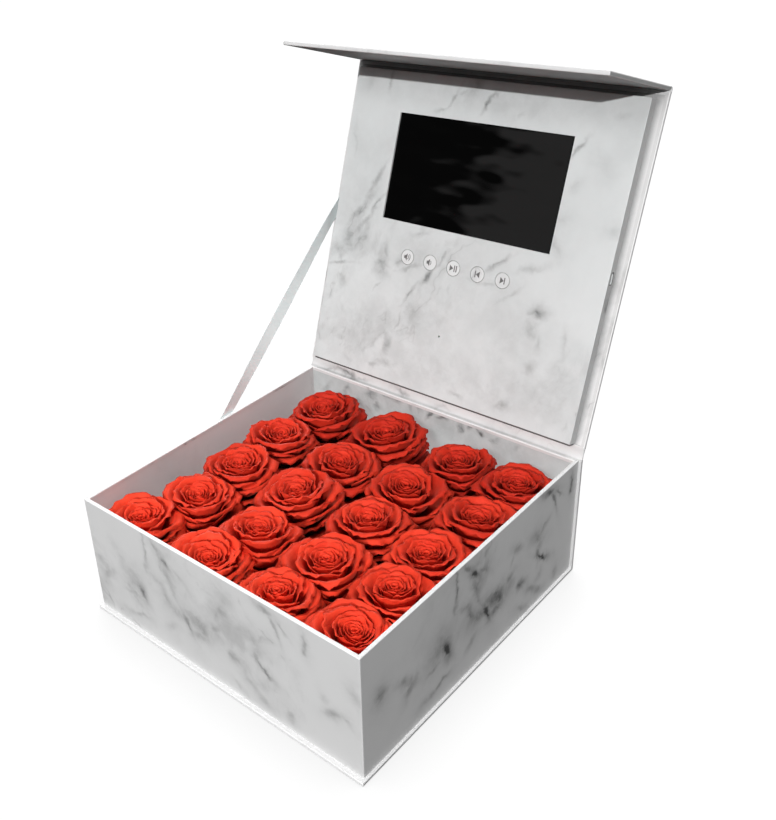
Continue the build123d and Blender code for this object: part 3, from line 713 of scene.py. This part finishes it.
def build_case():
    half = CASE_HALF
    case = MARBLE_CASE
    low, high = (-half, BASE_FRONT, 0), (half, TRAY_HALF + 0.5, BASE_TOP)
    # The base's top, front and back take the pale paper: painted highlight
    ledge = lambda n: n.z > 0.9 or abs(n.y) > 0.9
    wrap("base_wrap", low, high, "tray", "base_paper", (case, PALE_EDGE_AND_PAINTED_HIGHLIGHT), pick=ledge)
    low, high = (-half, TRAY_HALF - 0.2, 0), (half, SPINE_REAR, SPINE_TOP + 0.3)
    wrap("spine_wrap", low, high, "tray", "spine_paper", (case, case))
    low, high = (-half, LID_FRONT, LID_INSIDE), (half, LID_REAR, LID_OUTSIDE)
    # The lid's ends and rounded edges take the lighter paper: painted light
    wrap("lid_wrap", low, high, "lid", "lid_paper", (case, LID_EDGE_PAINTED_LIGHT), LID, lambda n: abs(n.x) > 0.9)
    low = (-half + BOARD, LID_FRONT + BOARD, LID_INSIDE - 0.1)
    high = (half - BOARD, LID_REAR - 0.3, LID_INSIDE + 0.05)
    papers = (MARBLE_LID_INSIDE, MARBLE_LID_INSIDE)
    lining = rounded_box(low, high, 0.05, 1)
    piece("lid_lining_sheet", lining, "lid", papers, ("lid_lining",), LID)
    low, high = (-half, LID_FRONT - BOARD, FLAP_BOTTOM), (half, LID_FRONT, FLAP_TOP + 0.1)
    # The flap's inner face and ends take the darker papers: painted shade
    papers = (case, case, MARBLE_FLAP_INSIDE_PAINTED_SHADE, MARBLE_FLAP_END_PAINTED_SHADE)
    inner_or_end = lambda n: 2 if n.y > 0.9 else 3 * (abs(n.x) > 0.9)
    wrap("flap_wrap", low, high, "flap", "flap_paper", papers, FLAP, inner_or_end)


def at_lid(y, z):
    """Where a (y, z) of the shut lid is at rest."""
    p = LID @ Vector((0, y * MM, z * MM))
    return p.y / MM, p.z / MM


def hinge_sheet(name, path, halves, thickness, paper):
    """A sheet of even thickness along a (y, z) path, as wide as halves says at each point."""
    bm = bmesh.new()
    rows = []
    for i, ((y, z), half) in enumerate(zip(path, halves)):
        before, after = path[max(i - 1, 0)], path[min(i + 1, len(path) - 1)]
        dy, dz = after[0] - before[0], after[1] - before[1]
        share = thickness / hypot(dy, dz)
        sides = ((y, z), (y - dz * share, z + dy * share))
        rows.append([[bm.verts.new((x, *place)) for x in (-half, half)] for place in sides])
    skin(bm, rows)
    return piece(name, bm, None, (paper,), even=False)


def build_hinges():
    outer = at_lid(LID_REAR, LID_OUTSIDE)
    further = at_lid(LID_REAR - 2.5, LID_OUTSIDE)
    rear = SPINE_REAR + 0.02
    path = [(rear, SPINE_TOP - 2.5)]
    leaving, arriving = (SPINE_REAR + 0.1, SPINE_TOP + 2.5), (outer[0] - 2.6, outer[1] - 4.5)
    path += bezier((rear, SPINE_TOP - 0.5), leaving, arriving, outer)
    path += [(further[0] + 0.02, further[1])]
    o = hinge_sheet("hinge_strip", path, [CASE_HALF - 0.15] * len(path), PAPER, MARBLE_CASE)
    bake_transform(o)
    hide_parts("lid_hinge_paper")
    inner = at_lid(LID_REAR, LID_INSIDE)
    path = [(TRAY_HALF - 1.9, RIM + 0.02), (TRAY_HALF - 0.4, RIM + 0.06)]
    leaving, arriving = (TRAY_HALF + 1.9, RIM + 0.4), (inner[0] + 0.4, inner[1] - 4.0)
    path += bezier((TRAY_HALF + 0.2, RIM + 0.1), leaving, arriving, inner)
    path += [at_lid(LID_REAR - 1.9, LID_INSIDE - 0.12)]
    halves = [TRAY_HALF - 0.3] * 2 + [CASE_HALF - 0.2] * (len(path) - 2)
    o = hinge_sheet("inner_hinge_strip", path, halves, 0.22, HINGE_PAPER)
    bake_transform(o)
    radius = BOARD - 0.02
    path = [at_lid(LID_FRONT + 1.5, LID_OUTSIDE - 0.02)]
    for i in range(ARC_STEPS + 1):
        a = radians(90 * i / ARC_STEPS)
        path.append(at_lid(LID_FRONT - radius * sin(a), LID_INSIDE + radius * cos(a)))
    path += [at_lid(LID_FRONT - radius, LID_INSIDE - 1.5)]
    o = hinge_sheet("fold_strip", path, [CASE_HALF - 0.1] * len(path), PAPER, FOLD_PAPER)
    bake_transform(o)
    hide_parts("flap_hinge_paper")


# Outlines and solids

def prism(points, z_low, z_high):
    """A straight solid over the outline of (x, y) points."""
    bm = bmesh.new()
    low, high = ring_at(bm, points, z_low), ring_at(bm, points, z_high)
    bm.faces.new(low[::-1])
    bm.faces.new(high)
    between(bm, low, high)
    return bm


def rectangle(x0, y0, x1, y1):
    return [(x0, y0), (x1, y0), (x1, y1), (x0, y1)]


def circle(x, y, radius, count):
    angles = [2 * pi * i / count for i in range(count)]
    return [(x + radius * cos(a), y + radius * sin(a)) for a in angles]


def cut(target, tool_bm):
    """Takes the tool's solid out of the target object."""
    tool = linked("cutter", mesh_of(tool_bm, "cutter"))
    step = target.modifiers.new("cut", "BOOLEAN")
    step.operation = "DIFFERENCE"
    step.solver = "EXACT"
    step.object = tool
    graph = bpy.context.evaluated_depsgraph_get()
    mesh = bpy.data.meshes.new_from_object(target.evaluated_get(graph))
    target.modifiers.remove(step)
    target.data = mesh
    bpy.data.objects.remove(tool)


# Video panel

def button_places():
    return [(n, BUTTON_MIDDLE + (i - 2) * BUTTON_PITCH) for i, n in enumerate(MARKS)]


def build_panel():
    inside, half = LID_INSIDE, PANEL_HALF
    face = inside - PANEL_THICKNESS
    body = rounded_box((-half, PANEL_FRONT, face), (half, PANEL_REAR, inside), 0.6)
    for f in body.faces:
        f.material_index = 0
    o = linked("panel", mesh_of(body, "panel"))
    within = half - SPACER_WALL
    hollow = rectangle(-within, PANEL_FRONT + SPACER_WALL, within, PANEL_REAR - SPACER_WALL)
    cut(o, prism(hollow, face + CARD, inside + 1))
    through = (face - 1, face + CARD + 1)
    width, height, bottom = WINDOW
    high = PANEL_REAR - bottom
    cut(o, prism(rectangle(-width / 2, high - height, width / 2, high), *through))
    for name, x in button_places():
        hole = circle(x, PANEL_REAR - BUTTON_ROW, BUTTON_DIAMETER / 2 + BUTTON_GAP, ROUND_STEPS)
        cut(o, prism(hole, *through))
    x, up, wide = PINHOLE
    cut(o, prism(circle(x, PANEL_REAR - up, wide / 2, 24), *through))
    slot = []
    for side in (1, -1):
        for i in range(ARC_STEPS + 1):
            a = radians(-90 * side + 180 * i / ARC_STEPS)
            slot.append((side * SOCKET_REACH + SOCKET_RADIUS * cos(a), SOCKET_RADIUS * sin(a)))
    y, z = PANEL_REAR - SOCKET_UP, inside - SOCKET_OUT
    stand = Matrix(((0, 0, 1, half - 2.5), (1, 0, 0, y), (0, 1, 0, z), (0, 0, 0, 1)))
    tool = prism(slot, -1.5, 4.0)
    tool.transform(stand)
    cut(o, tool)
    mesh = o.data
    bpy.data.objects.remove(o)
    # The right side face takes the darker paper: painted shade
    for f in mesh.polygons:
        if f.normal.x > 0.9 and f.center.x > half - 0.3:
            f.material_index = 1
    papers = (MARBLE_PANEL, MARBLE_PANEL_SIDE_PAINTED_SHADE)
    stood_for = ("panel_card", "panel_spacer")
    panel = piece("panel_wrap", mesh, "lid", papers, stood_for, LID)
    soften = panel.modifiers.new("soft_edges", "BEVEL")
    soften.width = 0.12 * MM
    soften.segments = 2
    soften.limit_method = "ANGLE"
    soften.angle_limit = radians(60)
    panel.modifiers.move(1, 0)
    # A dark strip behind the panel's lower edge, showing just below it: painted shade for the
    # shadow line under the panel
    low = (0.8 - half, PANEL_REAR - 0.6, face + CARD)
    high = (half - 0.8, PANEL_REAR + 1.5, inside - 0.1)
    foot = rounded_box(low, high, 0.1, 1)
    piece("panel_foot", foot, "lid", (DARK_RIM_AND_PAINTED_SHADE, DARK_RIM_AND_PAINTED_SHADE), (), LID)
    rim = bmesh.new()
    rings = []
    for grow, z in ((0.75, 2.4), (0.75, 2.56), (-0.05, 2.56), (-0.05, 2.4)):
        grown = [(x * (1 + grow / hypot(x, y)), y * (1 + grow / hypot(x, y))) for x, y in slot]
        rings.append(ring_at(rim, grown, z))
    round_and_back(rim, rings)
    rim.transform(stand)
    piece("socket_rim", rim, "lid", (DARK_RIM_AND_PAINTED_SHADE,), (), LID)


def arc(radius, half_angle):
    """Outline of a sound wave in front of the speaker mark."""
    angles = [radians(half_angle * (i / 4 - 1)) for i in range(9)]
    outer = [((radius + WAVE_WIDTH) * cos(a) - 0.9, (radius + WAVE_WIDTH) * sin(a)) for a in angles]
    return outer + [(radius * cos(a) - 0.9, radius * sin(a)) for a in reversed(angles)]


def bar(x):
    return rectangle(x, -2.6, x + 0.9, 2.6)


SPEAKER_MARK = [(-3.2, -1.2), (-2.0, -1.2), (-0.3, -3.0), (-0.3, 3.0), (-2.0, 1.2), (-3.2, 1.2)]
MARKS = {
    "volume_up": [SPEAKER_MARK, arc(1.6, 52), arc(3.2, 48)],
    "volume_down": [SPEAKER_MARK, arc(1.6, 52)],
    "play": [[(-3.3, -2.5), (0.1, 0.0), (-3.3, 2.5)], bar(0.6), bar(2.4)],
    "previous": [bar(-2.3), [(2.0, -2.6), (2.0, 2.6), (-1.3, 0.0)]],
    "next": [bar(1.4), [(-2.0, 2.6), (-2.0, -2.6), (1.3, 0.0)]],
}


def turned_profile(profile, x, y):
    """A solid of revolution about the line along Z through (x, y)."""
    bm = bmesh.new()
    count = ROUND_STEPS
    rings = [ring_at(bm, circle(x, y, r, count) if r else [(x, y)], z) for r, z in profile]
    for a, b in zip(rings, rings[1:]):
        for i in range(count):
            k = (i + 1) % count
            corners = [a[i % len(a)], a[k % len(a)], b[k % len(b)], b[i % len(b)]]
            bm.faces.new([v for n, v in enumerate(corners) if v not in corners[:n]])
    return bm


def build_buttons():
    face, y = LID_INSIDE - PANEL_THICKNESS, PANEL_REAR - BUTTON_ROW
    z, under, radius = face + 0.03, face + CARD, BUTTON_DIAMETER / 2
    flange, stem, end = radius + 1.05, 1.5, under + 1.4
    profile = [(0, z), (radius - 0.22, z), (radius - 0.07, z + 0.06), (radius, z + 0.2)]
    profile += [(radius, under), (flange, under), (flange, under + 0.45)]
    profile += [(stem, under + 0.5), (stem, end), (0, end)]
    for name, x in button_places():
        cap = turned_profile(profile, x, y)
        for f in cap.faces:
            middle = f.calc_center_median()
            if hypot(middle.x - x, middle.y - y) > radius - 0.18 and middle.z < z + 0.25:
                f.material_index = 2
        for mark in MARKS[name]:
            ink = prism([(x + px, y - py) for px, py in mark], z - 0.02, z + 0.01)
            for f in ink.faces:
                f.material_index = 1
            merge(cap, ink)
        papers = (MARBLE_CAP, INK, CAP_RING)
        piece(f"{name}_cap", cap, f"{name}_button", papers, (f"{name}_button",), LID)


# Ribbon

def build_ribbon():
    lo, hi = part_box("ribbon_stay")
    middle = (lo.x + hi.x) / 2 / MM
    foot = Vector((0.0, RIBBON_FOOT, RIM))
    head = Vector((0.0, *at_lid(PANEL_REAR - RIBBON_HEAD, LID_INSIDE)))
    along = (head - foot).normalized()
    across = Vector((0, -along.z, along.y))
    length = (head - foot).length
    # The upper end is cut along the lid's face
    slant = RIBBON_WIDTH / 2 / tan(radians(180 - OPEN_ANGLE) - atan2(along.z, along.y))
    tab, into_lid = 12.0, 2.4
    last_row, last_column = 90, 8
    bm = bmesh.new()
    uv = bm.loops.layers.uv.new("UVMap")
    rows, places = [], {}
    for i in range(last_row + 1):
        row = ([], [])
        for k in range(last_column + 1):
            w = 2 * k / last_column - 1
            s = -tab + (length + tab + into_lid + w * slant) * i / last_row
            thick = 0.14 + 0.05 * abs(w) ** 6
            share = min(max(s / length, 0.0), 1.0)
            turned = RIBBON_TWIST * sin(pi * share ** 0.8) ** 2
            slip = 1.5 * max((share - 0.85) / 0.15, 0.0) ** 2
            face_x = across * cos(turned) + Vector((sin(turned), 0, 0))
            normal = Vector((cos(turned), 0, 0)) - across * sin(turned)
            for side, points in zip((-1, 1), row):
                p = foot + along * s + face_x * (w * RIBBON_WIDTH / 2) + normal * (side * thick)
                p.x += middle + slip
                points.append(bm.verts.new(p))
                places[points[-1]] = (i * 4.0, k * 0.02)
        rows.append(row)
    skin(bm, rows)
    for f in bm.faces:
        for loop in f.loops:
            loop[uv].uv = places[loop.vert]
    o = piece("ribbon", bm, None, (BY_SLOT["ribbon"],), even=False)
    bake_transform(o)
    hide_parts("ribbon_stay")


# Foam and roses

def build_foam():
    rng = random.Random(5)
    cells = 48
    bm = bmesh.new()
    bmesh.ops.create_grid(bm, x_segments=cells, y_segments=cells, size=INNER_HALF - 0.2)
    for v in bm.verts:
        v.co.z = FOAM_TOP - 0.5 + rng.uniform(-0.4, 0.3)
    made = bmesh.ops.extrude_edge_only(bm, edges=[e for e in bm.edges if e.is_boundary])
    for v in [g for g in made["geom"] if isinstance(g, bmesh.types.BMVert)]:
        v.co.z = FLOOR_TOP + 0.02
    bmesh.ops.contextual_create(bm, geom=[e for e in bm.edges if e.is_boundary])
    o = piece("foam_block", bm, "tray", (BY_SLOT["foam"],), ("foam_insert",), even=False)


# Columns of roses from the left, each row from the front: how far a rose stands from its
# place in the grid, and its size
ROSE_COLUMNS = [
    [(-3, -2, 1), (13, -9, 1), (9, -11, 1.02), (5, -10, 0.98), (10, -7, 1.04)],
    [(7, -3, 1), (17, -15, 1.02), (6, -9, 1.08), (8, -12, 1), (11, -5, 1.06)],
    [(11, -4, 0.98), (14, -11, 1.14), (8, -5, 1), (7, -9, 1.08), (20, -9, 1)],
    [(4, -2, 1), (5, -6, 1.04), (1, -13, 1), (3, -8, 1.04), (4, -8, 1)],
]
# How far each rose's bud stands off its own middle, in the same order
BUD_SHIFTS = [
    (3, -2), (0, 0), (0, 0), (0, 3), (-3, 2),
    (2, -3), (-3, 3), (-1, 1), (-3, 4), (0, 1),
    (-2, 0), (-3, 6), (-2, 1), (-6, 5), (-2, 3),
    (2, 4), (-3, 4), (-4, 3), (0, 0), (1, 2),
]
# Rings of petals from the middle: count, wall radius, lip radius, lip height below the
# top, foot height, half angle of a petal, flare and roll of the lip, drop of the sides,
# pointed tip
RINGS = [
    (2, 1.5, 2.4, -5.6, -24, 155, 0, 0.1, 0.1, 0),
    (3, 3.4, 4.8, -5, -24, 104, 0.1, 0.2, 0.14, 0),
    (3, 5.4, 7, -4.2, -24, 92, 0.15, 0.3, 0.16, 0),
    (4, 7.4, 9.4, -3.2, -24, 68, 0.2, 0.5, 0.18, 0.3),
    (3, 9.8, 12.6, -1.6, -25, 82, 0.3, 0.9, 0.2, 0.6),
    (3, 13, 17.4, 0, -27, 78, 0.5, 1.8, 0.22, 1.3),
    (3, 17.2, 24.4, -0.9, -28, 74, 0.8, 2.6, 0.24, 2.2),
    (4, 20.2, 29, -5.5, -31, 60, 0.9, 3, 0.26, 2.6),
    (4, 21.5, 31.5, -11, -34, 58, 1, 3, 0.28, 2.6),
    (5, 21, 33, -19, -38, 48, 1, 2.6, 0.3, 2),
    (5, 18, 34, -28.5, -42, 50, 0.9, 2, 0.3, 1.2),
    (5, 15, 38, -37, -46, 52, 0.9, 1, 0.3, 0.6),
]
CUP_RINGS = 5
PETAL_COLUMNS = 22
PETAL_ROWS = 12


def zigzag(x):
    """A triangular wave between -1 and 1."""
    return 4 * np.abs(x % 1.0 - 0.5) - 1


def petal(rng, ring, angle):
    """Points of one petal as rows from foot to lip, round the rose's own axis."""
    _, wall, lip, lip_z, foot_z, half_angle, flare, roll, drop, tip = ring
    u = np.linspace(-1, 1, PETAL_COLUMNS + 1)[None, :]
    t = np.linspace(0, 1, PETAL_ROWS + 1)[:, None]
    lip *= rng.uniform(0.95, 1.05)
    lip_z += rng.uniform(-1.3, 1.3) * min(1.0, lip / 12)
    half_angle *= rng.uniform(0.88, 1.12)
    roll *= rng.uniform(0.6, 1.4)
    top = 1 - drop * np.abs(u) ** 2.6 * rng.uniform(0.8, 1.2)
    s = t * top
    tall = lip_z - foot_z
    w0, w1 = (1 - s) ** 3, 3 * s * (1 - s) ** 2
    w2, w3 = 3 * s * s * (1 - s), s ** 3
    shoulder = wall - 0.4 + 0.35 * flare * (lip - wall)
    r = w0 * 3.0 + w1 * (wall + 1.0) + w2 * shoulder + w3 * lip
    bend_z = lip_z - (0.30 - 0.34 * flare) * tall
    z = w0 * foot_z + w1 * (foot_z + 0.16 * tall) + w2 * bend_z + w3 * lip_z
    edge = np.clip((t - 0.76) / 0.24, 0, 1) ** 1.6
    side = np.clip((np.abs(u) - 0.5) / 0.5, 0, 1) ** 1.8 * np.clip(t * 1.6, 0, 1)
    curl = roll * (edge * (1 - 0.3 * np.abs(u)) + 0.30 * side)
    r += curl * 0.6
    z -= curl * (0.25 + 0.85 * edge)
    cusp = np.exp(-((u - rng.uniform(-0.35, 0.35)) / 0.14) ** 2) * edge * tip
    r += cusp
    z -= 0.25 * cusp
    spiral = (0.45 + 0.045 * wall) * u * np.clip(t * 1.5, 0.1, 1)
    r += spiral
    phase = [rng.uniform(0, 6.3) for _ in range(5)]
    big = 0.05 * lip * (0.35 + 0.65 * t)
    r += big * 0.6 * np.sin(2.3 * u + phase[0]) * t + 0.35 * np.sin(6.1 * u + phase[1] + 2 * t) * t
    z += big * 0.8 * np.sin(2.9 * u + phase[2]) * t ** 2 + 0.3 * np.sin(8.0 * u + phase[3]) * edge
    nick = np.array([rng.uniform(-1, 1) for _ in range(PETAL_COLUMNS + 1)])[None, :]
    reach = lip * radians(half_angle)
    frill = min(1.0, lip / 16)
    creases = [zigzag(u * reach / wave + rng.uniform(0, 1)) for wave in (13.0, 7.0, 10.0)]
    z += frill * (0.9 * creases[0] + 0.5 * creases[1] + 0.4 * nick) * edge
    r += frill * (0.8 * creases[2] - 0.5 * creases[1]) * edge
    r = np.maximum(r, 0.4)
    spread = radians(half_angle) * (0.72 + 0.28 * np.sin(np.clip(s, 0, 1) * pi * 0.75))
    theta = angle + spread * u + 0.05 * np.sin(3 * t + phase[4])
    points = np.stack([r * np.cos(theta), r * np.sin(theta), z + 0 * r], axis=-1)
    return points, u + 0 * t, t + 0 * u


def rose_mesh(name, rng, size, lean, shift, cell, tone_with_painted_shade):
    """All the petals of one rose about its own place, kept inside its cell."""
    verts, faces, uvs, dye_and_painted_shades = [], [], [], []
    start = rng.uniform(0, 2 * pi)
    sunk = rng.uniform(0.6, 1.3)
    wide = PETAL_COLUMNS + 1
    per_petal = wide * (PETAL_ROWS + 1)
    for level, ring in enumerate(RINGS):
        count = ring[0]
        if level < CUP_RINGS:
            ring = ring[:3] + (ring[3] * sunk,) + ring[4:]
        start += pi / count + rng.uniform(-0.25, 0.25)
        for k in range(count):
            angle = start + 2 * pi * k / count + rng.uniform(-0.10, 0.10)
            points, u, t = petal(rng, ring, angle)
            near = max(0.0, 1.0 - ring[2] / 30.0)
            points[..., :2] += np.array(shift) * near
            base = len(verts) * per_petal
            verts.append(points.reshape(-1, 3))
            uvs.append(np.stack([(u * 0.5 + 0.5).ravel() + k + level, t.ravel()], axis=-1))
            dye_and_painted_shades.append(np.full(per_petal, min(max(tone_with_painted_shade + rng.uniform(-0.15, 0.15), 0.0), 1.0)))
            first = [base + i * wide + j for i in range(PETAL_ROWS) for j in range(PETAL_COLUMNS)]
            faces += [(a, a + 1, a + wide + 1, a + wide) for a in first]
    points = np.concatenate(verts) * size
    tilt = np.array(Matrix.Rotation(lean[0], 3, "X") @ Matrix.Rotation(lean[1], 3, "Y"))
    pivot = np.array([0, 0, -20.0])
    points = (points - pivot) @ tilt.T + pivot
    for axis in (0, 1):
        for sign, room in ((-1, -cell[axis][0]), (1, cell[axis][1])):
            x = sign * points[:, axis]
            free = 0.8 * room
            over = x > free
            x[over] = free + (room - free) * (1 - np.exp(-(x[over] - free) / (room - free)))
            points[:, axis] = sign * x
    points[:, 2] = np.clip(points[:, 2], FOAM_TOP - ROSE_TOP + 0.5, 0.2)
    mesh = bpy.data.meshes.new(name)
    mesh.from_pydata(points.tolist(), [], faces)
    uv = mesh.uv_layers.new(name="UVMap")
    flat = np.concatenate(uvs)
    corners = np.zeros(len(mesh.loops), np.int32)
    mesh.loops.foreach_get("vertex_index", corners)
    uv.data.foreach_set("uv", flat[corners].astype(np.float32).ravel())
    tone = mesh.attributes.new("tone", "FLOAT", "POINT")
    tone.data.foreach_set("value", np.concatenate(dye_and_painted_shades).astype(np.float32))
    return mesh


def build_roses():
    rng = random.Random(11)
    inside, over = INNER_HALF - 0.6, 1.8
    columns, rows = len(ROSE_COLUMNS), len(ROSE_COLUMNS[0])
    for i, (dx, dy, size) in enumerate(sum(ROSE_COLUMNS, [])):
        c, r = divmod(i, rows)
        x = (c - (columns - 1) / 2) * (2 * INNER_HALF / columns) + dx
        y = (r - (rows - 1) / 2) * (2 * INNER_HALF / rows) + dy
        name = f"rose_{i + 1:02d}"
        bloom = name + "_bloom"
        lo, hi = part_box(name)
        cell = []
        for k, centre in ((0, x), (1, y)):
            low = max(lo[k] / MM - over, -inside) - centre
            high = min(hi[k] / MM + over, inside) - centre
            cell.append((low, high))
        lean = (rng.uniform(-0.10, 0.10), rng.uniform(-0.10, 0.10))
        # Roses towards the back are darker: painted shade; each petal's tone also varies at random
        tone_with_painted_shade = 0.45 - 0.45 * y / INNER_HALF
        mesh = rose_mesh(bloom, rng, size, lean, BUD_SHIFTS[i], cell, tone_with_painted_shade)
        mesh.transform(Matrix.Translation((x, y, ROSE_TOP - rng.uniform(0.0, 0.8))))
        petals = (BY_SLOT["rose_petals"],)
        o = piece(bloom, mesh, "tray", petals, (name,), even=False)
        thick = o.modifiers.new("petal_thickness", "SOLIDIFY")
        thick.thickness = PETAL_THICKNESS * MM
        thick.offset = 0.0


# Camera, light and floor

def build_camera():
    azimuth, elevation, roll = (radians(a) for a in CAMERA_ANGLES)
    level = cos(elevation)
    back = Vector((sin(azimuth) * level, -cos(azimuth) * level, sin(elevation)))
    right = (-back).cross(Vector((0, 0, 1))).normalized()
    up = right.cross(-back)
    x_axis = cos(roll) * right + sin(roll) * up
    y_axis = cos(roll) * up - sin(roll) * right
    data = bpy.data.cameras.new("camera")
    width, height = FRAME
    focal, centre_x, centre_y = CAMERA_PIXELS
    data.sensor_width = 36.0
    data.lens = focal * data.sensor_width / height
    data.shift_x = (width / 2 - centre_x) / height
    data.shift_y = (centre_y - height / 2) / height
    data.clip_start = 0.01
    data.clip_end = 50.0
    o = linked("camera", data)
    turn = Matrix((x_axis, y_axis, back)).transposed().to_4x4()
    o.matrix_world = Matrix.Translation(CAMERA_PLACE) @ turn
    scene.camera = o


def sun(name, direction, strength, angle, receivers=None, blockers=None):
    data = bpy.data.lights.new(name, "SUN")
    data.energy = strength
    data.angle = radians(angle)
    o = linked(name, data)
    o.rotation_mode = "QUATERNION"
    o.rotation_quaternion = Vector(direction).to_track_quat("Z", "Y")
    o.light_linking.receiver_collection = receivers
    o.light_linking.blocker_collection = blockers


def group(name, objects, state):
    """A set of objects that a light's receivers or blockers include or leave out."""
    made = bpy.data.collections.new(name)
    for o in objects:
        made.objects.link(o)
    for entry in made.collection_objects:
        entry.light_linking.link_state = state
    return made


def background(t, strength):
    return node(t, "Background", {"Color": grey(1.0), "Strength": strength}).outputs[0]


def if_ray(t, kind, otherwise, then):
    """One shader for rays of this kind, the other for all the rest."""
    chosen = node(t, "LightPath").outputs[kind]
    return node(t, "MixShader", {0: chosen, 1: otherwise, 2: then}).outputs[0]


def build_light():
    everything = [o for o in scene.objects if o.type == "MESH"]
    roses = [o for o in everything if o.name.endswith("_bloom")]
    of_tray = ("tray", "base", "spine", "front_wall", "foam")
    tray = [o for o in everything if o.name.startswith(of_tray)]
    # The photograph shows no shadow of the roses or the tray on the paper
    not_roses = group("all_but_roses", roses, "EXCLUDE")
    lid_side = group("lid_side", roses + tray, "EXCLUDE")
    sun("key", KEY_DIRECTION, KEY_STRENGTH, 0.8, not_roses, lid_side)
    only_roses = group("roses", roses, "INCLUDE")
    not_tray = group("all_but_tray", tray, "EXCLUDE")
    sun("flower_key", KEY_DIRECTION, KEY_STRENGTH, 6.0, only_roses, not_tray)
    sun("front", (-0.05, -0.85, 0.52), 0.85, 25.0)
    sun("overhead", (0.05, 0.0, 1.0), 1.6, 50.0)
    sun("behind", (-0.62, 0.70, 0.35), 1.9, 40.0)
    world = bpy.data.worlds.new("room")
    scene.world = world
    world.use_nodes = True
    t = world.node_tree
    t.nodes.clear()
    unseen = if_ray(t, "Is Glossy Ray", background(t, 0.03), background(t, 0.2))
    seen = if_ray(t, "Is Camera Ray", unseen, background(t, 1.0))
    t.links.new(seen, node(t, "OutputWorld").inputs["Surface"])


def build_floor():
    bm = bmesh.new()
    bmesh.ops.create_grid(bm, x_segments=1, y_segments=1, size=6000)
    mesh = mesh_of(bm, "floor")
    mesh.transform(Matrix.Scale(MM, 4) @ Matrix.Translation((0, 0, -0.3)))
    o = linked("floor", mesh)
    m = bpy.data.materials.new("floor")
    m.use_nodes = True
    t = m.node_tree
    t.nodes.clear()
    # For camera rays the floor glows white with a contact shadow painted from ambient occlusion,
    # over a faint diffuse part that takes real shadows
    near = node(t, "AmbientOcclusion", {"Distance": 0.07}, samples=16).outputs["AO"]
    painted_contact_shadow = ramp(t, near, 0.25, 1.0, 0.80, 0.96)
    glow = node(t, "Emission", {"Color": grey(1.0), "Strength": painted_contact_shadow})
    lit = node(t, "BsdfDiffuse", {"Color": grey(0.07)})
    both = node(t, "AddShader", {0: glow.outputs[0], 1: lit.outputs[0]}).outputs[0]
    dim = node(t, "BsdfDiffuse", {"Color": grey(0.08)}).outputs[0]
    end = node(t, "OutputMaterial")
    t.links.new(if_ray(t, "Is Camera Ray", dim, both), end.inputs["Surface"])
    mesh.materials.append(m)


build_camera()
build_tray()
build_case()
build_hinges()
build_panel()
build_buttons()
build_ribbon()
build_foam()
build_roses()
build_light()
build_floor()

scene.view_settings.view_transform = "Standard"
